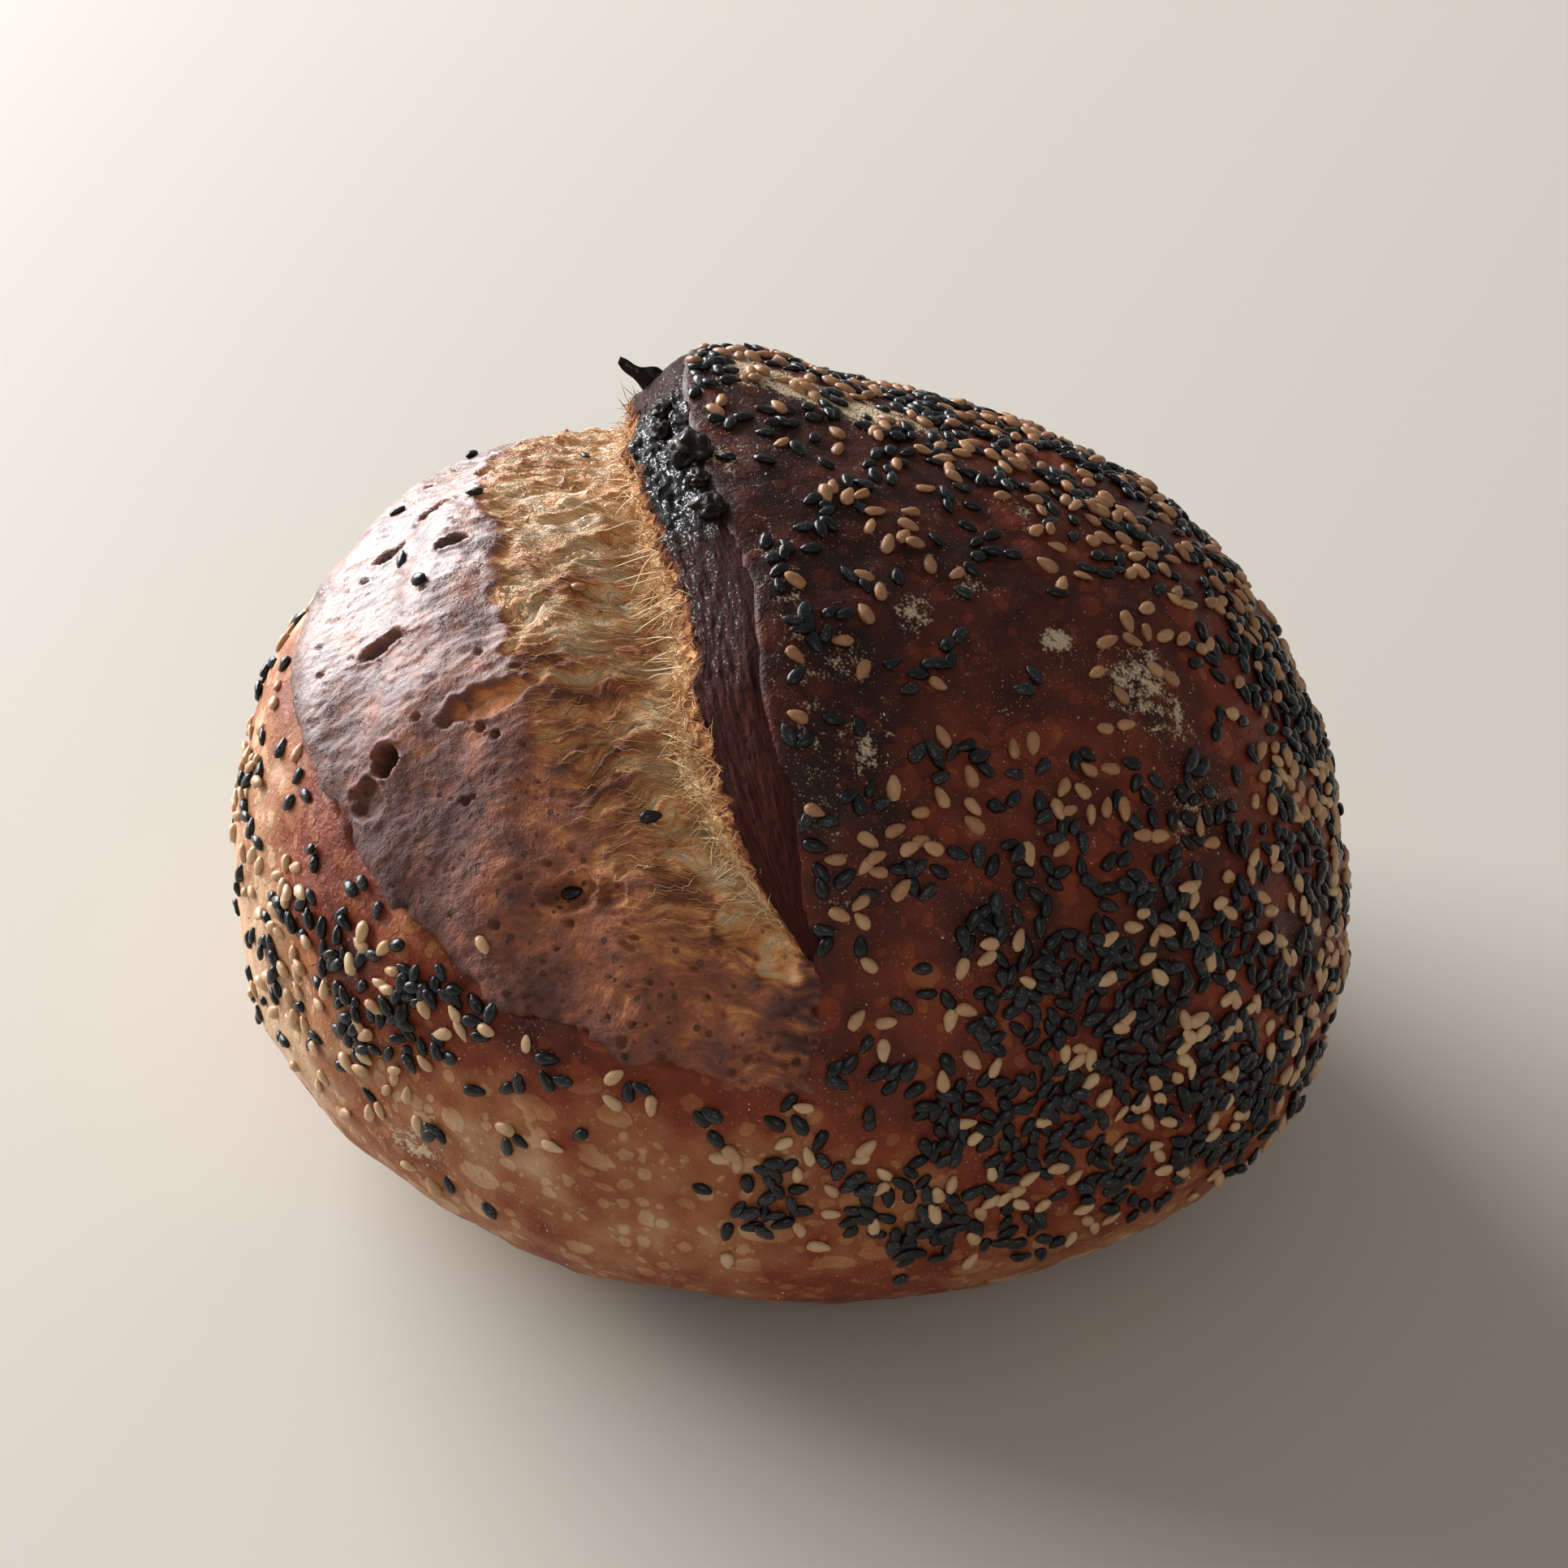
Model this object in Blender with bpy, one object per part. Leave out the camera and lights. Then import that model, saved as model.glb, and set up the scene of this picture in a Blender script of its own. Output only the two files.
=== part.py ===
"""A round sourdough loaf with one long score that opened into an ear, crusted with black and pale sesame.

Metres, +Z up. The origin is the middle of the flat base, and the ear runs from front (-Y) to back over the top.
The surface is a grid of meridians between a front pole and a back pole, so that one meridian is the ear's edge.
A meridian is given in degrees to the right of the top, and a place along it in degrees from front to back.
"""
import math
import random

import bmesh
import bpy
import numpy as np
from mathutils import Matrix, Vector, noise

MM = 0.001

# Driving dimensions of the whole loaf.
LOAF_WIDTH = 174 * MM
LOAF_DEPTH = 160 * MM
DOME_HEIGHT = 112 * MM
WIDEST_LEVEL = 35 * MM
BASE_SINK = 5 * MM  # the lower half would reach this far below the table, which leaves a flat base
UPPER_FULLNESS = 2.05
LOWER_FULLNESS = 2.5

# Broad swellings and hollows: (meridian, place, spread in degrees, height in mm), and soft lumps all over.
SWELLS = ((-54, 3, 25, 3.8), (94, -30, 24, 2.4), (38, 18, 22, 1.4), (-100, -66, 16, -1.2), (-5, -88, 34, -1.2))
LUMP_HEIGHT = 0.6 * MM
LUMP_SPACING = 38 * MM

# The score: its meridian against the place along the loaf, and how far it is open.
EAR_LINE = ((-90, 8), (-61, 6), (-53, -1.5), (-44, -6), (-34, -8.4), (-24, -9), (-13, -11.6),
            (0, -14.6), (14, -16.3), (35, -16), (50, -13), (62, -9), (90, -9))
EAR_FRONT, EAR_BACK = -63, 58
EAR_FADE = 24
EAR_LEAST_NARROWING = 0.35  # near the poles the ear keeps this share of its width in degrees

# The ear in section: (distance right of the line when shut, distance when open, height when open), in mm.
EAR_SECTION = ((7.0, 7.0, 5.2), (4.5, 4.0, 3.9), (2.5, 1.2, 2.6), (1.0, -2.0, 1.4), (0.0, -1.7, -0.1),
               (-1.0, 0.6, -1.3), (-2.0, 2.4, -3.2), (-3.0, 0.8, -4.9), (-4.5, -3.0, -5.0), (-7.0, -6.5, -4.6))
RIDGE_HEIGHT = 5.2 * MM
RIDGE_REACH = 17 * MM
TIP_RISE = 2.4 * MM
TIP_PLACE, TIP_SPREAD = 15, 10
BARE_STRIP = 7  # degrees right of the line where no seed lies

# The bloom, where the crumb burst out left of the ear.
BLOOM_EDGE = -57.5
BLOOM_FRONT, BLOOM_BACK = -72, 67
BLOOM_CORNER = 6
BLOOM_STEP = 1.1 * MM
BLOOM_STEP_WIDTH = 5
BLOOM_DIP = 4.4 * MM
BLOOM_DIP_REACH = 17 * MM
FOLD_HEIGHT = 0.5 * MM
FOLD_SPACING = 24 * MM
FOLD_SLANT = 34  # degrees of place over which the folds shift by one fold

# Burst bubbles in the bloom: (meridian, place, radius in mm, depth in mm).
HOLES = ((-47, -28, 4.0, 3.4), (-33, -27, 4.6, 2.2))

# The grid: rows lie between the poles, and columns on both sides of the ear, closer together near it.
ROWS = 46
RIGHT_COLUMNS, RIGHT_CROWDING = 22, 1.35
LEFT_COLUMNS, LEFT_CROWDING = 28, 1.25
POLE_MARGIN = 4.5
POLE_BULGE = 0.12

# The sesame seeds fused to the crust.
SEED_LENGTH, SEED_WIDTH, SEED_THICKNESS = 3.3 * MM, 2.0 * MM, 1.5 * MM
SEED_TAPER = 0.25
SEED_SIDES, SEED_RINGS = 6, 3
SEED_COUNT = 190
SEED_GAP = 4.6 * MM
SEED_LOWEST = 9 * MM
SEED_START = 7

# Where the seeds lie thickest: (meridian, place, spread in degrees, weight).
SEED_PATCHES = ((62, -42, 24, 1.0), (35, -62, 16, 1.0), (80, -8, 26, 0.9), (88, 34, 28, 0.7), (8, 12, 14, 0.8),
                (34, 8, 18, 0.75), (30, 44, 24, 0.8), (-66, -50, 11, 1.0), (-72, -16, 12, 0.4), (-78, 30, 22, 0.6),
                (-85, -62, 10, 0.35))
SEED_BACKGROUND = 0.14

CRUST_COLOUR = (0.23, 0.085, 0.035, 1.0)
CRUST_ROUGHNESS = 0.5


def smooth_step(value, low, high):
    """0 below low, 1 above high, with a smooth rise between."""
    t = np.clip((value - low) / (high - low), 0, 1)
    return t * t * (3 - 2 * t)


def smooth_line(value, points):
    """The smooth curve through (place, height) points."""
    places, heights = np.array(points, float).T
    slopes = np.gradient(heights, places)
    i = np.clip(np.searchsorted(places, value) - 1, 0, len(places) - 2)
    width = places[i + 1] - places[i]
    t = np.clip((value - places[i]) / width, 0, 1)
    rise = heights[i + 1] - heights[i]
    start, end = slopes[i] * width, slopes[i + 1] * width
    return heights[i] + t * (start + t * (3 * rise - 2 * start - end + t * (start + end - 2 * rise)))


def direction(meridian, place):
    """Unit vectors from the middle of the widest level."""
    m, p = np.radians(meridian), np.radians(place)
    return np.stack([np.sin(m) * np.cos(p), np.sin(p), np.cos(m) * np.cos(p)], -1)


def dome(way):
    """Points of the smooth loaf in the given directions, and its outward normals there."""
    x, y, z = way[..., 0], way[..., 1], way[..., 2]
    flat = np.maximum(np.hypot(x, y), 1e-9)
    fullness = np.where(z >= 0, UPPER_FULLNESS, LOWER_FULLNESS)
    half = np.where(z >= 0, DOME_HEIGHT - WIDEST_LEVEL, WIDEST_LEVEL + BASE_SINK)
    reach = flat ** (2 / fullness)
    rise = np.sign(z) * np.abs(z) ** (2 / fullness)
    wide, deep = LOAF_WIDTH / 2, LOAF_DEPTH / 2
    point = np.stack([wide * reach * x / flat, deep * reach * y / flat, WIDEST_LEVEL + half * rise], -1)
    outward = np.stack([
        reach ** (fullness - 1) * x / flat / wide,
        reach ** (fullness - 1) * y / flat / deep,
        np.sign(z) * np.abs(rise) ** (fullness - 1) / half,
    ], -1)
    return point, outward / np.linalg.norm(outward, axis=-1, keepdims=True)


def soft_lumps(points):
    """Height of the soft lumps that every crust has, by smooth noise."""
    waves = [noise.noise(Vector(point) / LUMP_SPACING + Vector((17.3, 5.1, 9.7))) for point in points]
    return LUMP_HEIGHT * 2 * np.array(waves)


def swelling(meridian, place):
    """Height of the broad swellings over the smooth loaf."""
    meridian = (meridian + 180) % 360 - 180
    height = np.zeros_like(meridian)
    for swell_meridian, swell_place, spread, rise in SWELLS:
        away = (meridian - swell_meridian) * np.cos(np.radians(swell_place))
        height += rise * MM * np.exp(-(away ** 2 + (place - swell_place) ** 2) / spread ** 2)
    return height


def bloom_edge(place):
    """The meridian where the bloom meets the left crust."""
    end = np.where(place < 0, BLOOM_FRONT, BLOOM_BACK)
    return BLOOM_EDGE * np.sqrt(np.clip(1 - np.abs(place / end) ** BLOOM_CORNER, 0, 1))


def ear_opening(place):
    """How far the score is open: 1 along its middle, 0 at both ends."""
    return smooth_step(place, EAR_FRONT, EAR_FRONT + EAR_FADE) * smooth_step(-place, -EAR_BACK, EAR_FADE - EAR_BACK)


def bloom_height(meridian, place, left):
    """Height of the bloom over the smooth loaf, left metres to the left of the ear line."""
    inside = smooth_step(meridian - bloom_edge(place), 0, BLOOM_STEP_WIDTH)
    dip = BLOOM_DIP * np.exp(-(left / BLOOM_DIP_REACH) ** 2) * ear_opening(place)
    folds = FOLD_HEIGHT * np.sin(2 * math.pi * (left / FOLD_SPACING + place / FOLD_SLANT))
    pits = np.zeros_like(meridian)
    degree = LOAF_WIDTH / 2 * math.radians(1)
    for hole_meridian, hole_place, radius, depth in HOLES:
        across = (meridian - hole_meridian) * degree * math.cos(math.radians(hole_place))
        along = (place - hole_place) * degree
        pits += depth * MM * np.exp(-(across ** 2 + along ** 2) / (radius * MM) ** 2)
    return inside * (folds - dip - pits - BLOOM_STEP)


def ridge_height(right, place):
    """Height of the crust over the smooth loaf, right metres to the right of the ear's ridge."""
    tip = TIP_RISE * np.exp(-((place - TIP_PLACE) / TIP_SPREAD) ** 2)
    fall = np.exp(-(np.maximum(right, 0) / RIDGE_REACH) ** 2)
    return (RIDGE_HEIGHT + tip) * fall * ear_opening(place)


def section(place):
    """One row of the grid: points around the loaf at a place, from the underside over the ear and back under."""
    shut, opened, lift = np.array(EAR_SECTION).T * MM
    opening = float(ear_opening(np.array(place)))
    degree = LOAF_WIDTH / 2 * math.radians(1) * max(math.cos(math.radians(place)), EAR_LEAST_NARROWING)
    ear = float(smooth_line(place, EAR_LINE))
    beside = (shut + (opened - shut) * opening) / degree
    ridge, foot = beside[0], beside[-1]
    right = ridge + (180 - ear - ridge) * np.linspace(1, 0, RIGHT_COLUMNS, endpoint=False) ** RIGHT_CROWDING
    left = foot + (-180 - ear - foot) * np.linspace(0, 1, LEFT_COLUMNS + 1)[1:-1] ** LEFT_CROWDING
    offset = np.concatenate([right, beside, left])
    places = np.full(len(offset), float(place))
    point, normal = dome(direction(ear + offset, places))
    tip = float(ridge_height(0, place)) - RIDGE_HEIGHT * opening
    height = np.concatenate([
        ridge_height((right - ridge) * degree, place),
        lift * opening + tip * np.clip(lift / RIDGE_HEIGHT, 0, 1),
        bloom_height(ear + left, places[:len(left)], -left * degree),
    ])
    height += swelling(ear + offset, places) + soft_lumps(point)
    point = point + normal * height[:, None]
    point[:, 2] = np.maximum(point[:, 2], 0)
    return point


def loaf_mesh():
    """The loaf without seeds: rows of points joined into a closed mesh, with one vertex at each pole."""
    mesh = bmesh.new()
    places = np.linspace(POLE_MARGIN - 90, 90 - POLE_MARGIN, ROWS)
    rows = [[mesh.verts.new(point) for point in section(place)] for place in places]
    around = len(rows[0])
    for near, far in zip(rows, rows[1:]):
        for i in range(around):
            mesh.faces.new((near[i], near[(i + 1) % around], far[(i + 1) % around], far[i]))
    for row, next_row in ((rows[0], rows[1]), (rows[-1], rows[-2])):
        middle = sum((v.co for v in row), Vector()) / around
        inner = sum((v.co for v in next_row), Vector()) / around
        pole = mesh.verts.new(middle + (middle - inner) * POLE_BULGE)
        for i in range(around):
            mesh.faces.new((row[i], row[(i + 1) % around], pole))
    bmesh.ops.recalc_face_normals(mesh, faces=mesh.faces)
    bmesh.ops.triangulate(mesh, faces=mesh.faces)
    return finished_mesh("loaf", mesh)


def seed_mesh():
    """One flat sesame seed along X, with one end narrower than the other."""
    mesh = bmesh.new()
    bmesh.ops.create_uvsphere(mesh, u_segments=SEED_SIDES, v_segments=SEED_RINGS, radius=1)
    for v in mesh.verts:
        narrowing = 1 - SEED_TAPER * v.co.x
        v.co = Vector((
            v.co.x * SEED_LENGTH / 2,
            v.co.y * SEED_WIDTH / 2 * narrowing,
            v.co.z * SEED_THICKNESS / 2 * narrowing,
        ))
    return finished_mesh("seed", mesh)


def finished_mesh(name, mesh):
    """The bmesh as mesh data."""
    data = bpy.data.meshes.new(name)
    mesh.to_mesh(data)
    mesh.free()
    return data


def seed_weight(meridian, place):
    """How thickly the seeds lie, from 0 to about 1, with none on the bloom or the ear's bare strip."""
    ear = float(smooth_line(place, EAR_LINE))
    if bloom_edge(place) < meridian < ear + BARE_STRIP:
        return 0
    weight = SEED_BACKGROUND
    for patch_meridian, patch_place, spread, share in SEED_PATCHES:
        away = (meridian - patch_meridian) * math.cos(math.radians(patch_place))
        weight += share * math.exp(-(away ** 2 + (place - patch_place) ** 2) / spread ** 2)
    return weight


def seed_places(loaf):
    """Points and normals on the crust for the seeds, chosen at random by weight and kept apart."""
    chance = random.Random(SEED_START)
    centre = Vector((0, 0, WIDEST_LEVEL))
    chosen = []
    while len(chosen) < SEED_COUNT:
        way = Vector([chance.gauss(0, 1) for _ in range(3)]).normalized()
        meridian = math.degrees(math.atan2(way.x, way.z))
        place = math.degrees(math.asin(way.y))
        if chance.random() > seed_weight(meridian, place):
            continue
        hit, point, normal, _ = loaf.ray_cast(centre + way * LOAF_WIDTH, -way)
        if hit and point.z > SEED_LOWEST and all((point - other).length > SEED_GAP for other, _, _ in chosen):
            chosen.append((point, normal, chance.uniform(0, math.pi)))
    return chosen


def scatter_seeds(loaf):
    """Seeds laid flat on the crust, half sunk in it, in a collection of their own."""
    seeds = bpy.data.collections.new("seeds")
    bpy.context.scene.collection.children.link(seeds)
    data = seed_mesh()
    for point, normal, spin in seed_places(loaf):
        seed = bpy.data.objects.new("seed", data)
        upright = normal.to_track_quat("Z", "Y").to_matrix().to_4x4()
        seed.matrix_world = Matrix.Translation(point) @ upright @ Matrix.Rotation(spin, 4, "Z")
        seeds.objects.link(seed)
    return seeds


def join_seeds(loaf, seeds):
    """Unites the seeds with the loaf by one Boolean on their collection, then removes them."""
    union = loaf.modifiers.new("seeds", "BOOLEAN")
    union.operation = "UNION"
    union.solver = "MANIFOLD"
    union.operand_type = "COLLECTION"
    union.collection = seeds
    bpy.context.view_layer.update()
    evaluated = loaf.evaluated_get(bpy.context.evaluated_depsgraph_get())
    joined = bpy.data.meshes.new_from_object(evaluated)
    loaf.modifiers.remove(union)
    loaf.data = joined
    for seed in list(seeds.objects):
        bpy.data.objects.remove(seed)
    bpy.data.collections.remove(seeds)


def crust_material():
    """Brown baked crust."""
    material = bpy.data.materials.new("crust")
    material.use_nodes = True
    shader = material.node_tree.nodes["Principled BSDF"]
    shader.inputs["Base Color"].default_value = CRUST_COLOUR
    shader.inputs["Roughness"].default_value = CRUST_ROUGHNESS
    shader.inputs["Metallic"].default_value = 0.0
    return material


def main():
    for old in list(bpy.data.objects):
        bpy.data.objects.remove(old)
    loaf = bpy.data.objects.new("loaf", loaf_mesh())
    bpy.context.scene.collection.objects.link(loaf)
    bpy.context.view_layer.update()
    join_seeds(loaf, scatter_seeds(loaf))
    loaf.data.materials.clear()
    loaf.data.materials.append(crust_material())


main()
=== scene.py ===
import math
import random

import bmesh
import bpy
import numpy as np
from mathutils import Matrix, Vector, noise
from mathutils.bvhtree import BVHTree
from mathutils.kdtree import KDTree


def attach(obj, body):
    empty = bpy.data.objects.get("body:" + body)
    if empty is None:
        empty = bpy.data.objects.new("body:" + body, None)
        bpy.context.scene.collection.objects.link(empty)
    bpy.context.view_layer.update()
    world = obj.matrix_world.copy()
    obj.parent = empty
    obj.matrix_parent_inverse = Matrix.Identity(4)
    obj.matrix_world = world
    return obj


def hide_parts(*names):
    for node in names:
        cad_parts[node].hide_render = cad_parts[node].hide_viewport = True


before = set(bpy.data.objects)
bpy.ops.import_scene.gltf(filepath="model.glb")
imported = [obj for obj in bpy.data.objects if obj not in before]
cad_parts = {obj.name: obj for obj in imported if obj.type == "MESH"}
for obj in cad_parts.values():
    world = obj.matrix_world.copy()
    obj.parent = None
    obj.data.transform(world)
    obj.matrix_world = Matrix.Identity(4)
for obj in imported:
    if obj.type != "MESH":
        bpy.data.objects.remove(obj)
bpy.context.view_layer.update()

# The crust: the skin of the dough, baked from tan at the base to dark mahogany on top.
# It is one closed surface that is sunk where the crumb burst through it, with the blisters, lumps and
# fine grain of a wet dough proved in the cold, and flour and bran from the basket in patches.
# Its colour also holds painted light and shade: paler on the left flank and the upper right, darker on the
# right side.
MM = 0.001
LOAF_WIDTH, LOAF_DEPTH, DOME_HEIGHT = 174 * MM, 160 * MM, 112 * MM
WIDEST_LEVEL, BASE_SINK = 35 * MM, 5 * MM
UPPER_FULLNESS, LOWER_FULLNESS = 2.05, 2.5
DEGREE = LOAF_WIDTH / 2 / MM * math.radians(1)  # mm across the loaf for one degree of meridian
PLACE_MM = 1.42  # mm along the loaf for one degree of place
SWELLS = ((-54, 3, 25, 3.8), (94, -30, 24, 2.4), (38, 18, 22, 1.4), (-100, -66, 16, -1.2),
          (-5, -88, 34, -1.2))
SOFT_LUMPS, SOFT_SPACING = 0.6, 38

# The score's line, as its meridian in degrees against the place in degrees from front to back.
EAR_LINE = ((-90, 8), (-61, 6), (-53, -1.5), (-44, -6), (-34, -8.4), (-24, -9), (-13, -11.6), (0, -14.6),
            (14, -16.3), (35, -16), (50, -13), (62, -9), (90, -9))
EAR_FRONT, EAR_BACK, EAR_FADE = -63, 58, 24
EAR_WIDTH = 7
STRIP_FRONT, STRIP_BACK = (-65, -43), (38, 59)  # the places where the bare strip narrows to nothing
RIDGE_HEIGHT, RIDGE_REACH = 5.2, 17
TIP_RISE, TIP_PLACE, TIP_SPREAD = 2.4, 15, 10
BLOOM_EDGE, BLOOM_FRONT, BLOOM_BACK, BLOOM_CORNER = -57.5, -72, 67, 6
CLEFT_FLOOR = 9

CRUST_SQUARES = 124
CRUST_CROWDING = 0.3
BLISTER_COUNT = 1250
BLISTER_RADIUS = (0.7, 3.2)
BLISTER_HEIGHT = 0.16

# Flour and bran that stayed on the crust: (meridian, place, radius in mm, strength).
FLOUR = ((-6.5, 12.5, 5, 0.95), (-1, 11.5, 5, 0.95), (5, 10, 5.5, 0.95), (11, 10, 4, 0.7),
         (25.2, -19.7, 2.4, 0.7), (35, -20.5, 7, 0.42), (39, -22, 5, 0.42), (14.9, -16.9, 2.2, 0.5),
         (10.4, -22.6, 3.0, 0.42), (-93, -53, 5, 0.5), (-8.4, -5.1, 5, 0.3), (20, -3, 4, 0.3),
         (5, -30, 3, 0.36), (7, -38, 4, 0.36), (46, -30, 5, 0.3), (60, 20, 9, 0.5), (20, 50, 10, 0.5),
         (-70, 40, 9, 0.45), (100, 10, 9, 0.45))


def smooth_step(value, low, high):
    """0 below low, 1 above high, with a smooth rise between."""
    t = np.clip((value - low) / (high - low), 0, 1)
    return t * t * (3 - 2 * t)


def smooth_line(value, points):
    """The smooth curve through (place, height) points."""
    places, heights = np.array(points, float).T
    slopes = np.gradient(heights, places)
    i = np.clip(np.searchsorted(places, value) - 1, 0, len(places) - 2)
    width = places[i + 1] - places[i]
    t = np.clip((value - places[i]) / width, 0, 1)
    rise = heights[i + 1] - heights[i]
    start, end = slopes[i] * width, slopes[i + 1] * width
    return heights[i] + t * (start + t * (3 * rise - 2 * start - end + t * (start + end - 2 * rise)))


def waves(points, spacing, seed):
    """Smooth noise between about -1 and 1, with waves about spacing apart."""
    moved = points / spacing + np.array((13.7, 7.3, 3.1)) * seed
    return 2 * np.fromiter(map(noise.noise, moved.tolist()), float, len(moved))


def dome(meridian, place):
    """Points of the smooth loaf at a meridian and a place in degrees, and its outward normals there."""
    m, p = np.radians(meridian), np.radians(place)
    x, y, z = np.sin(m) * np.cos(p), np.sin(p), np.cos(m) * np.cos(p)
    flat = np.maximum(np.hypot(x, y), 1e-9)
    fullness = np.where(z >= 0, UPPER_FULLNESS, LOWER_FULLNESS)
    half = np.where(z >= 0, DOME_HEIGHT - WIDEST_LEVEL, WIDEST_LEVEL + BASE_SINK)
    reach = flat ** (2 / fullness)
    rise = np.sign(z) * np.abs(z) ** (2 / fullness)
    wide, hollow_shade = LOAF_WIDTH / 2, LOAF_DEPTH / 2
    point = np.stack([wide * reach * x / flat, hollow_shade * reach * y / flat, WIDEST_LEVEL + half * rise], -1)
    outward = np.stack([
        reach ** (fullness - 1) * x / flat / wide,
        reach ** (fullness - 1) * y / flat / hollow_shade,
        np.sign(z) * np.abs(rise) ** (fullness - 1) / half,
    ], -1)
    return point, outward / np.linalg.norm(outward, axis=-1, keepdims=True)


def on_loaf(meridian, place, height):
    """Points at a height in mm over the swollen loaf, cut flat by the table."""
    point, outward = dome(meridian, place)
    turned = (meridian + 180) % 360 - 180
    height = height + SOFT_LUMPS * waves(point / MM, SOFT_SPACING, 1)
    for swell_meridian, swell_place, spread, rise in SWELLS:
        away = (turned - swell_meridian) * np.cos(np.radians(swell_place))
        height = height + rise * np.exp(-(away ** 2 + (place - swell_place) ** 2) / spread ** 2)
    point = point + outward * (height * MM)[:, None]
    point[:, 2] = np.maximum(point[:, 2], 0)
    return point


def degree_at(place):
    """How many mm across the loaf one degree of meridian is, at a place."""
    return DEGREE * np.maximum(np.cos(np.radians(place)), 0.35)


def ear_opening(place):
    """How far the score is open: 1 along its middle, 0 at both ends."""
    in_front = smooth_step(place, EAR_FRONT, EAR_FRONT + EAR_FADE)
    return in_front * smooth_step(-place, -EAR_BACK, EAR_FADE - EAR_BACK)


def ear_width(place):
    """The width of the ear's bare strip in mm, which narrows to nothing at both ends."""
    return EAR_WIDTH * smooth_step(place, *STRIP_FRONT) * smooth_step(-place, -STRIP_BACK[1], -STRIP_BACK[0])


def tip_rise(place):
    """How much higher the ear stands at its highest point, in mm."""
    return TIP_RISE * np.exp(-((place - TIP_PLACE) / TIP_SPREAD) ** 2)


def bloom_inset(meridian, place):
    """How many mm a point lies inside the outer edge of the bloom."""
    end = np.where(place < 0, BLOOM_FRONT, BLOOM_BACK)
    inside = 1 - (meridian / BLOOM_EDGE) ** 2 - np.abs(place / end) ** BLOOM_CORNER
    across = 2 * meridian / BLOOM_EDGE ** 2 / degree_at(place)
    along = BLOOM_CORNER * np.abs(place / end) ** (BLOOM_CORNER - 1) / np.abs(end) / 1.4
    return inside / np.maximum(np.hypot(across, along), 0.004)


def near(meridian, place, spot_meridian, spot_place):
    """Distance in mm from a spot on the loaf."""
    return np.hypot((meridian - spot_meridian) * degree_at(spot_place), (place - spot_place) * PLACE_MM)


def flour_at(meridian, place):
    """How floury the crust is, from 0 to 1."""
    floury = np.zeros(len(place))
    for spot_meridian, spot_place, radius, strength in FLOUR:
        reach = near(meridian, place, spot_meridian, spot_place)
        floury = np.maximum(floury, strength * np.exp(-(reach / radius) ** 2))
    return floury


def mark(mesh, name, values):
    """Keeps a number or a vector for each point of a mesh, which its material reads."""
    kind, key = ("FLOAT", "value") if values.ndim == 1 else ("FLOAT_VECTOR", "vector")
    mesh.attributes.new(name, kind, "POINT").data.foreach_set(key, values.astype(np.float32).ravel())


def rounded_cube(squares, crowding):
    """A cube of squares and its points' directions, closer together towards the top."""
    ball = bmesh.new()
    bmesh.ops.create_cube(ball, size=2)
    bmesh.ops.subdivide_edges(ball, edges=ball.edges, cuts=squares - 1, use_grid_fill=True)
    mesh = bpy.data.meshes.new("crust")
    ball.to_mesh(mesh)
    ball.free()
    way = np.empty(len(mesh.vertices) * 3)
    mesh.vertices.foreach_get("co", way)
    way = np.tan(way.reshape(-1, 3) * math.pi / 4)
    way /= np.linalg.norm(way, axis=1, keepdims=True)
    way[:, 2] += crowding
    return mesh, way / np.linalg.norm(way, axis=1, keepdims=True)


def spots_tree(spots):
    """Finds the spots that lie near a place."""
    tree = KDTree(len(spots))
    for number, spot in enumerate(spots.tolist()):
        tree.insert(spot, number)
    tree.balance()
    return tree


crust_mesh, crust_way = rounded_cube(CRUST_SQUARES, CRUST_CROWDING)
crust_meridian = np.degrees(np.arctan2(crust_way[:, 0], crust_way[:, 2]))
crust_place = np.degrees(np.arcsin(np.clip(crust_way[:, 1], -1, 1)))
beside_line = (crust_meridian - smooth_line(crust_place, EAR_LINE)) * degree_at(crust_place)
ridge = ear_width(crust_place)
inset = bloom_inset(crust_meridian, crust_place)
wall = smooth_step(ridge - beside_line, 0.5, 5)
ridge_fall = np.exp(-(np.maximum(beside_line - ridge, 0) / RIDGE_REACH) ** 2)
crust_height = (RIDGE_HEIGHT + tip_rise(crust_place)) * ridge_fall * ear_opening(crust_place) * (1 - wall)
crust_ball = dome(crust_meridian, crust_place)[0] / MM
ragged_inset = inset + 0.9 * waves(crust_ball, 9, 8) + 0.5 * waves(crust_ball, 3.5, 9)
crust_height -= CLEFT_FLOOR * wall * smooth_step(ragged_inset, 0, 5)
crust_height -= 0.3 * smooth_step(inset, -6, 0) * smooth_step(-beside_line, -4, 2)

crust_smooth = on_loaf(crust_meridian, crust_place, crust_height)
crust_spots = crust_smooth / MM
crust_height += (0.34 * waves(crust_spots, 11, 2) + 0.16 * waves(crust_spots, 4.5, 3)
                 + 0.07 * waves(crust_spots, 2, 4))

# Blisters stand on the skin where it is thin, and they brown less than the crust around them.
blister = np.zeros(len(crust_spots))
crust_tree = spots_tree(crust_spots)
chance = random.Random(11)
for _ in range(BLISTER_COUNT):
    middle = crust_spots[chance.randrange(len(crust_spots))]
    radius = BLISTER_RADIUS[0] + (BLISTER_RADIUS[1] - BLISTER_RADIUS[0]) * chance.random() ** 2.6
    stretch = chance.uniform(0.9, 1.5)
    for _, number, distance in crust_tree.find_range(middle, radius * 1.5):
        away = crust_spots[number] - middle
        share = 1 - (np.hypot(np.hypot(away[0], away[1]) / stretch, away[2] * stretch) / radius) ** 4
        blister[number] = max(blister[number], share)
crust_height += BLISTER_HEIGHT * blister

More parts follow.
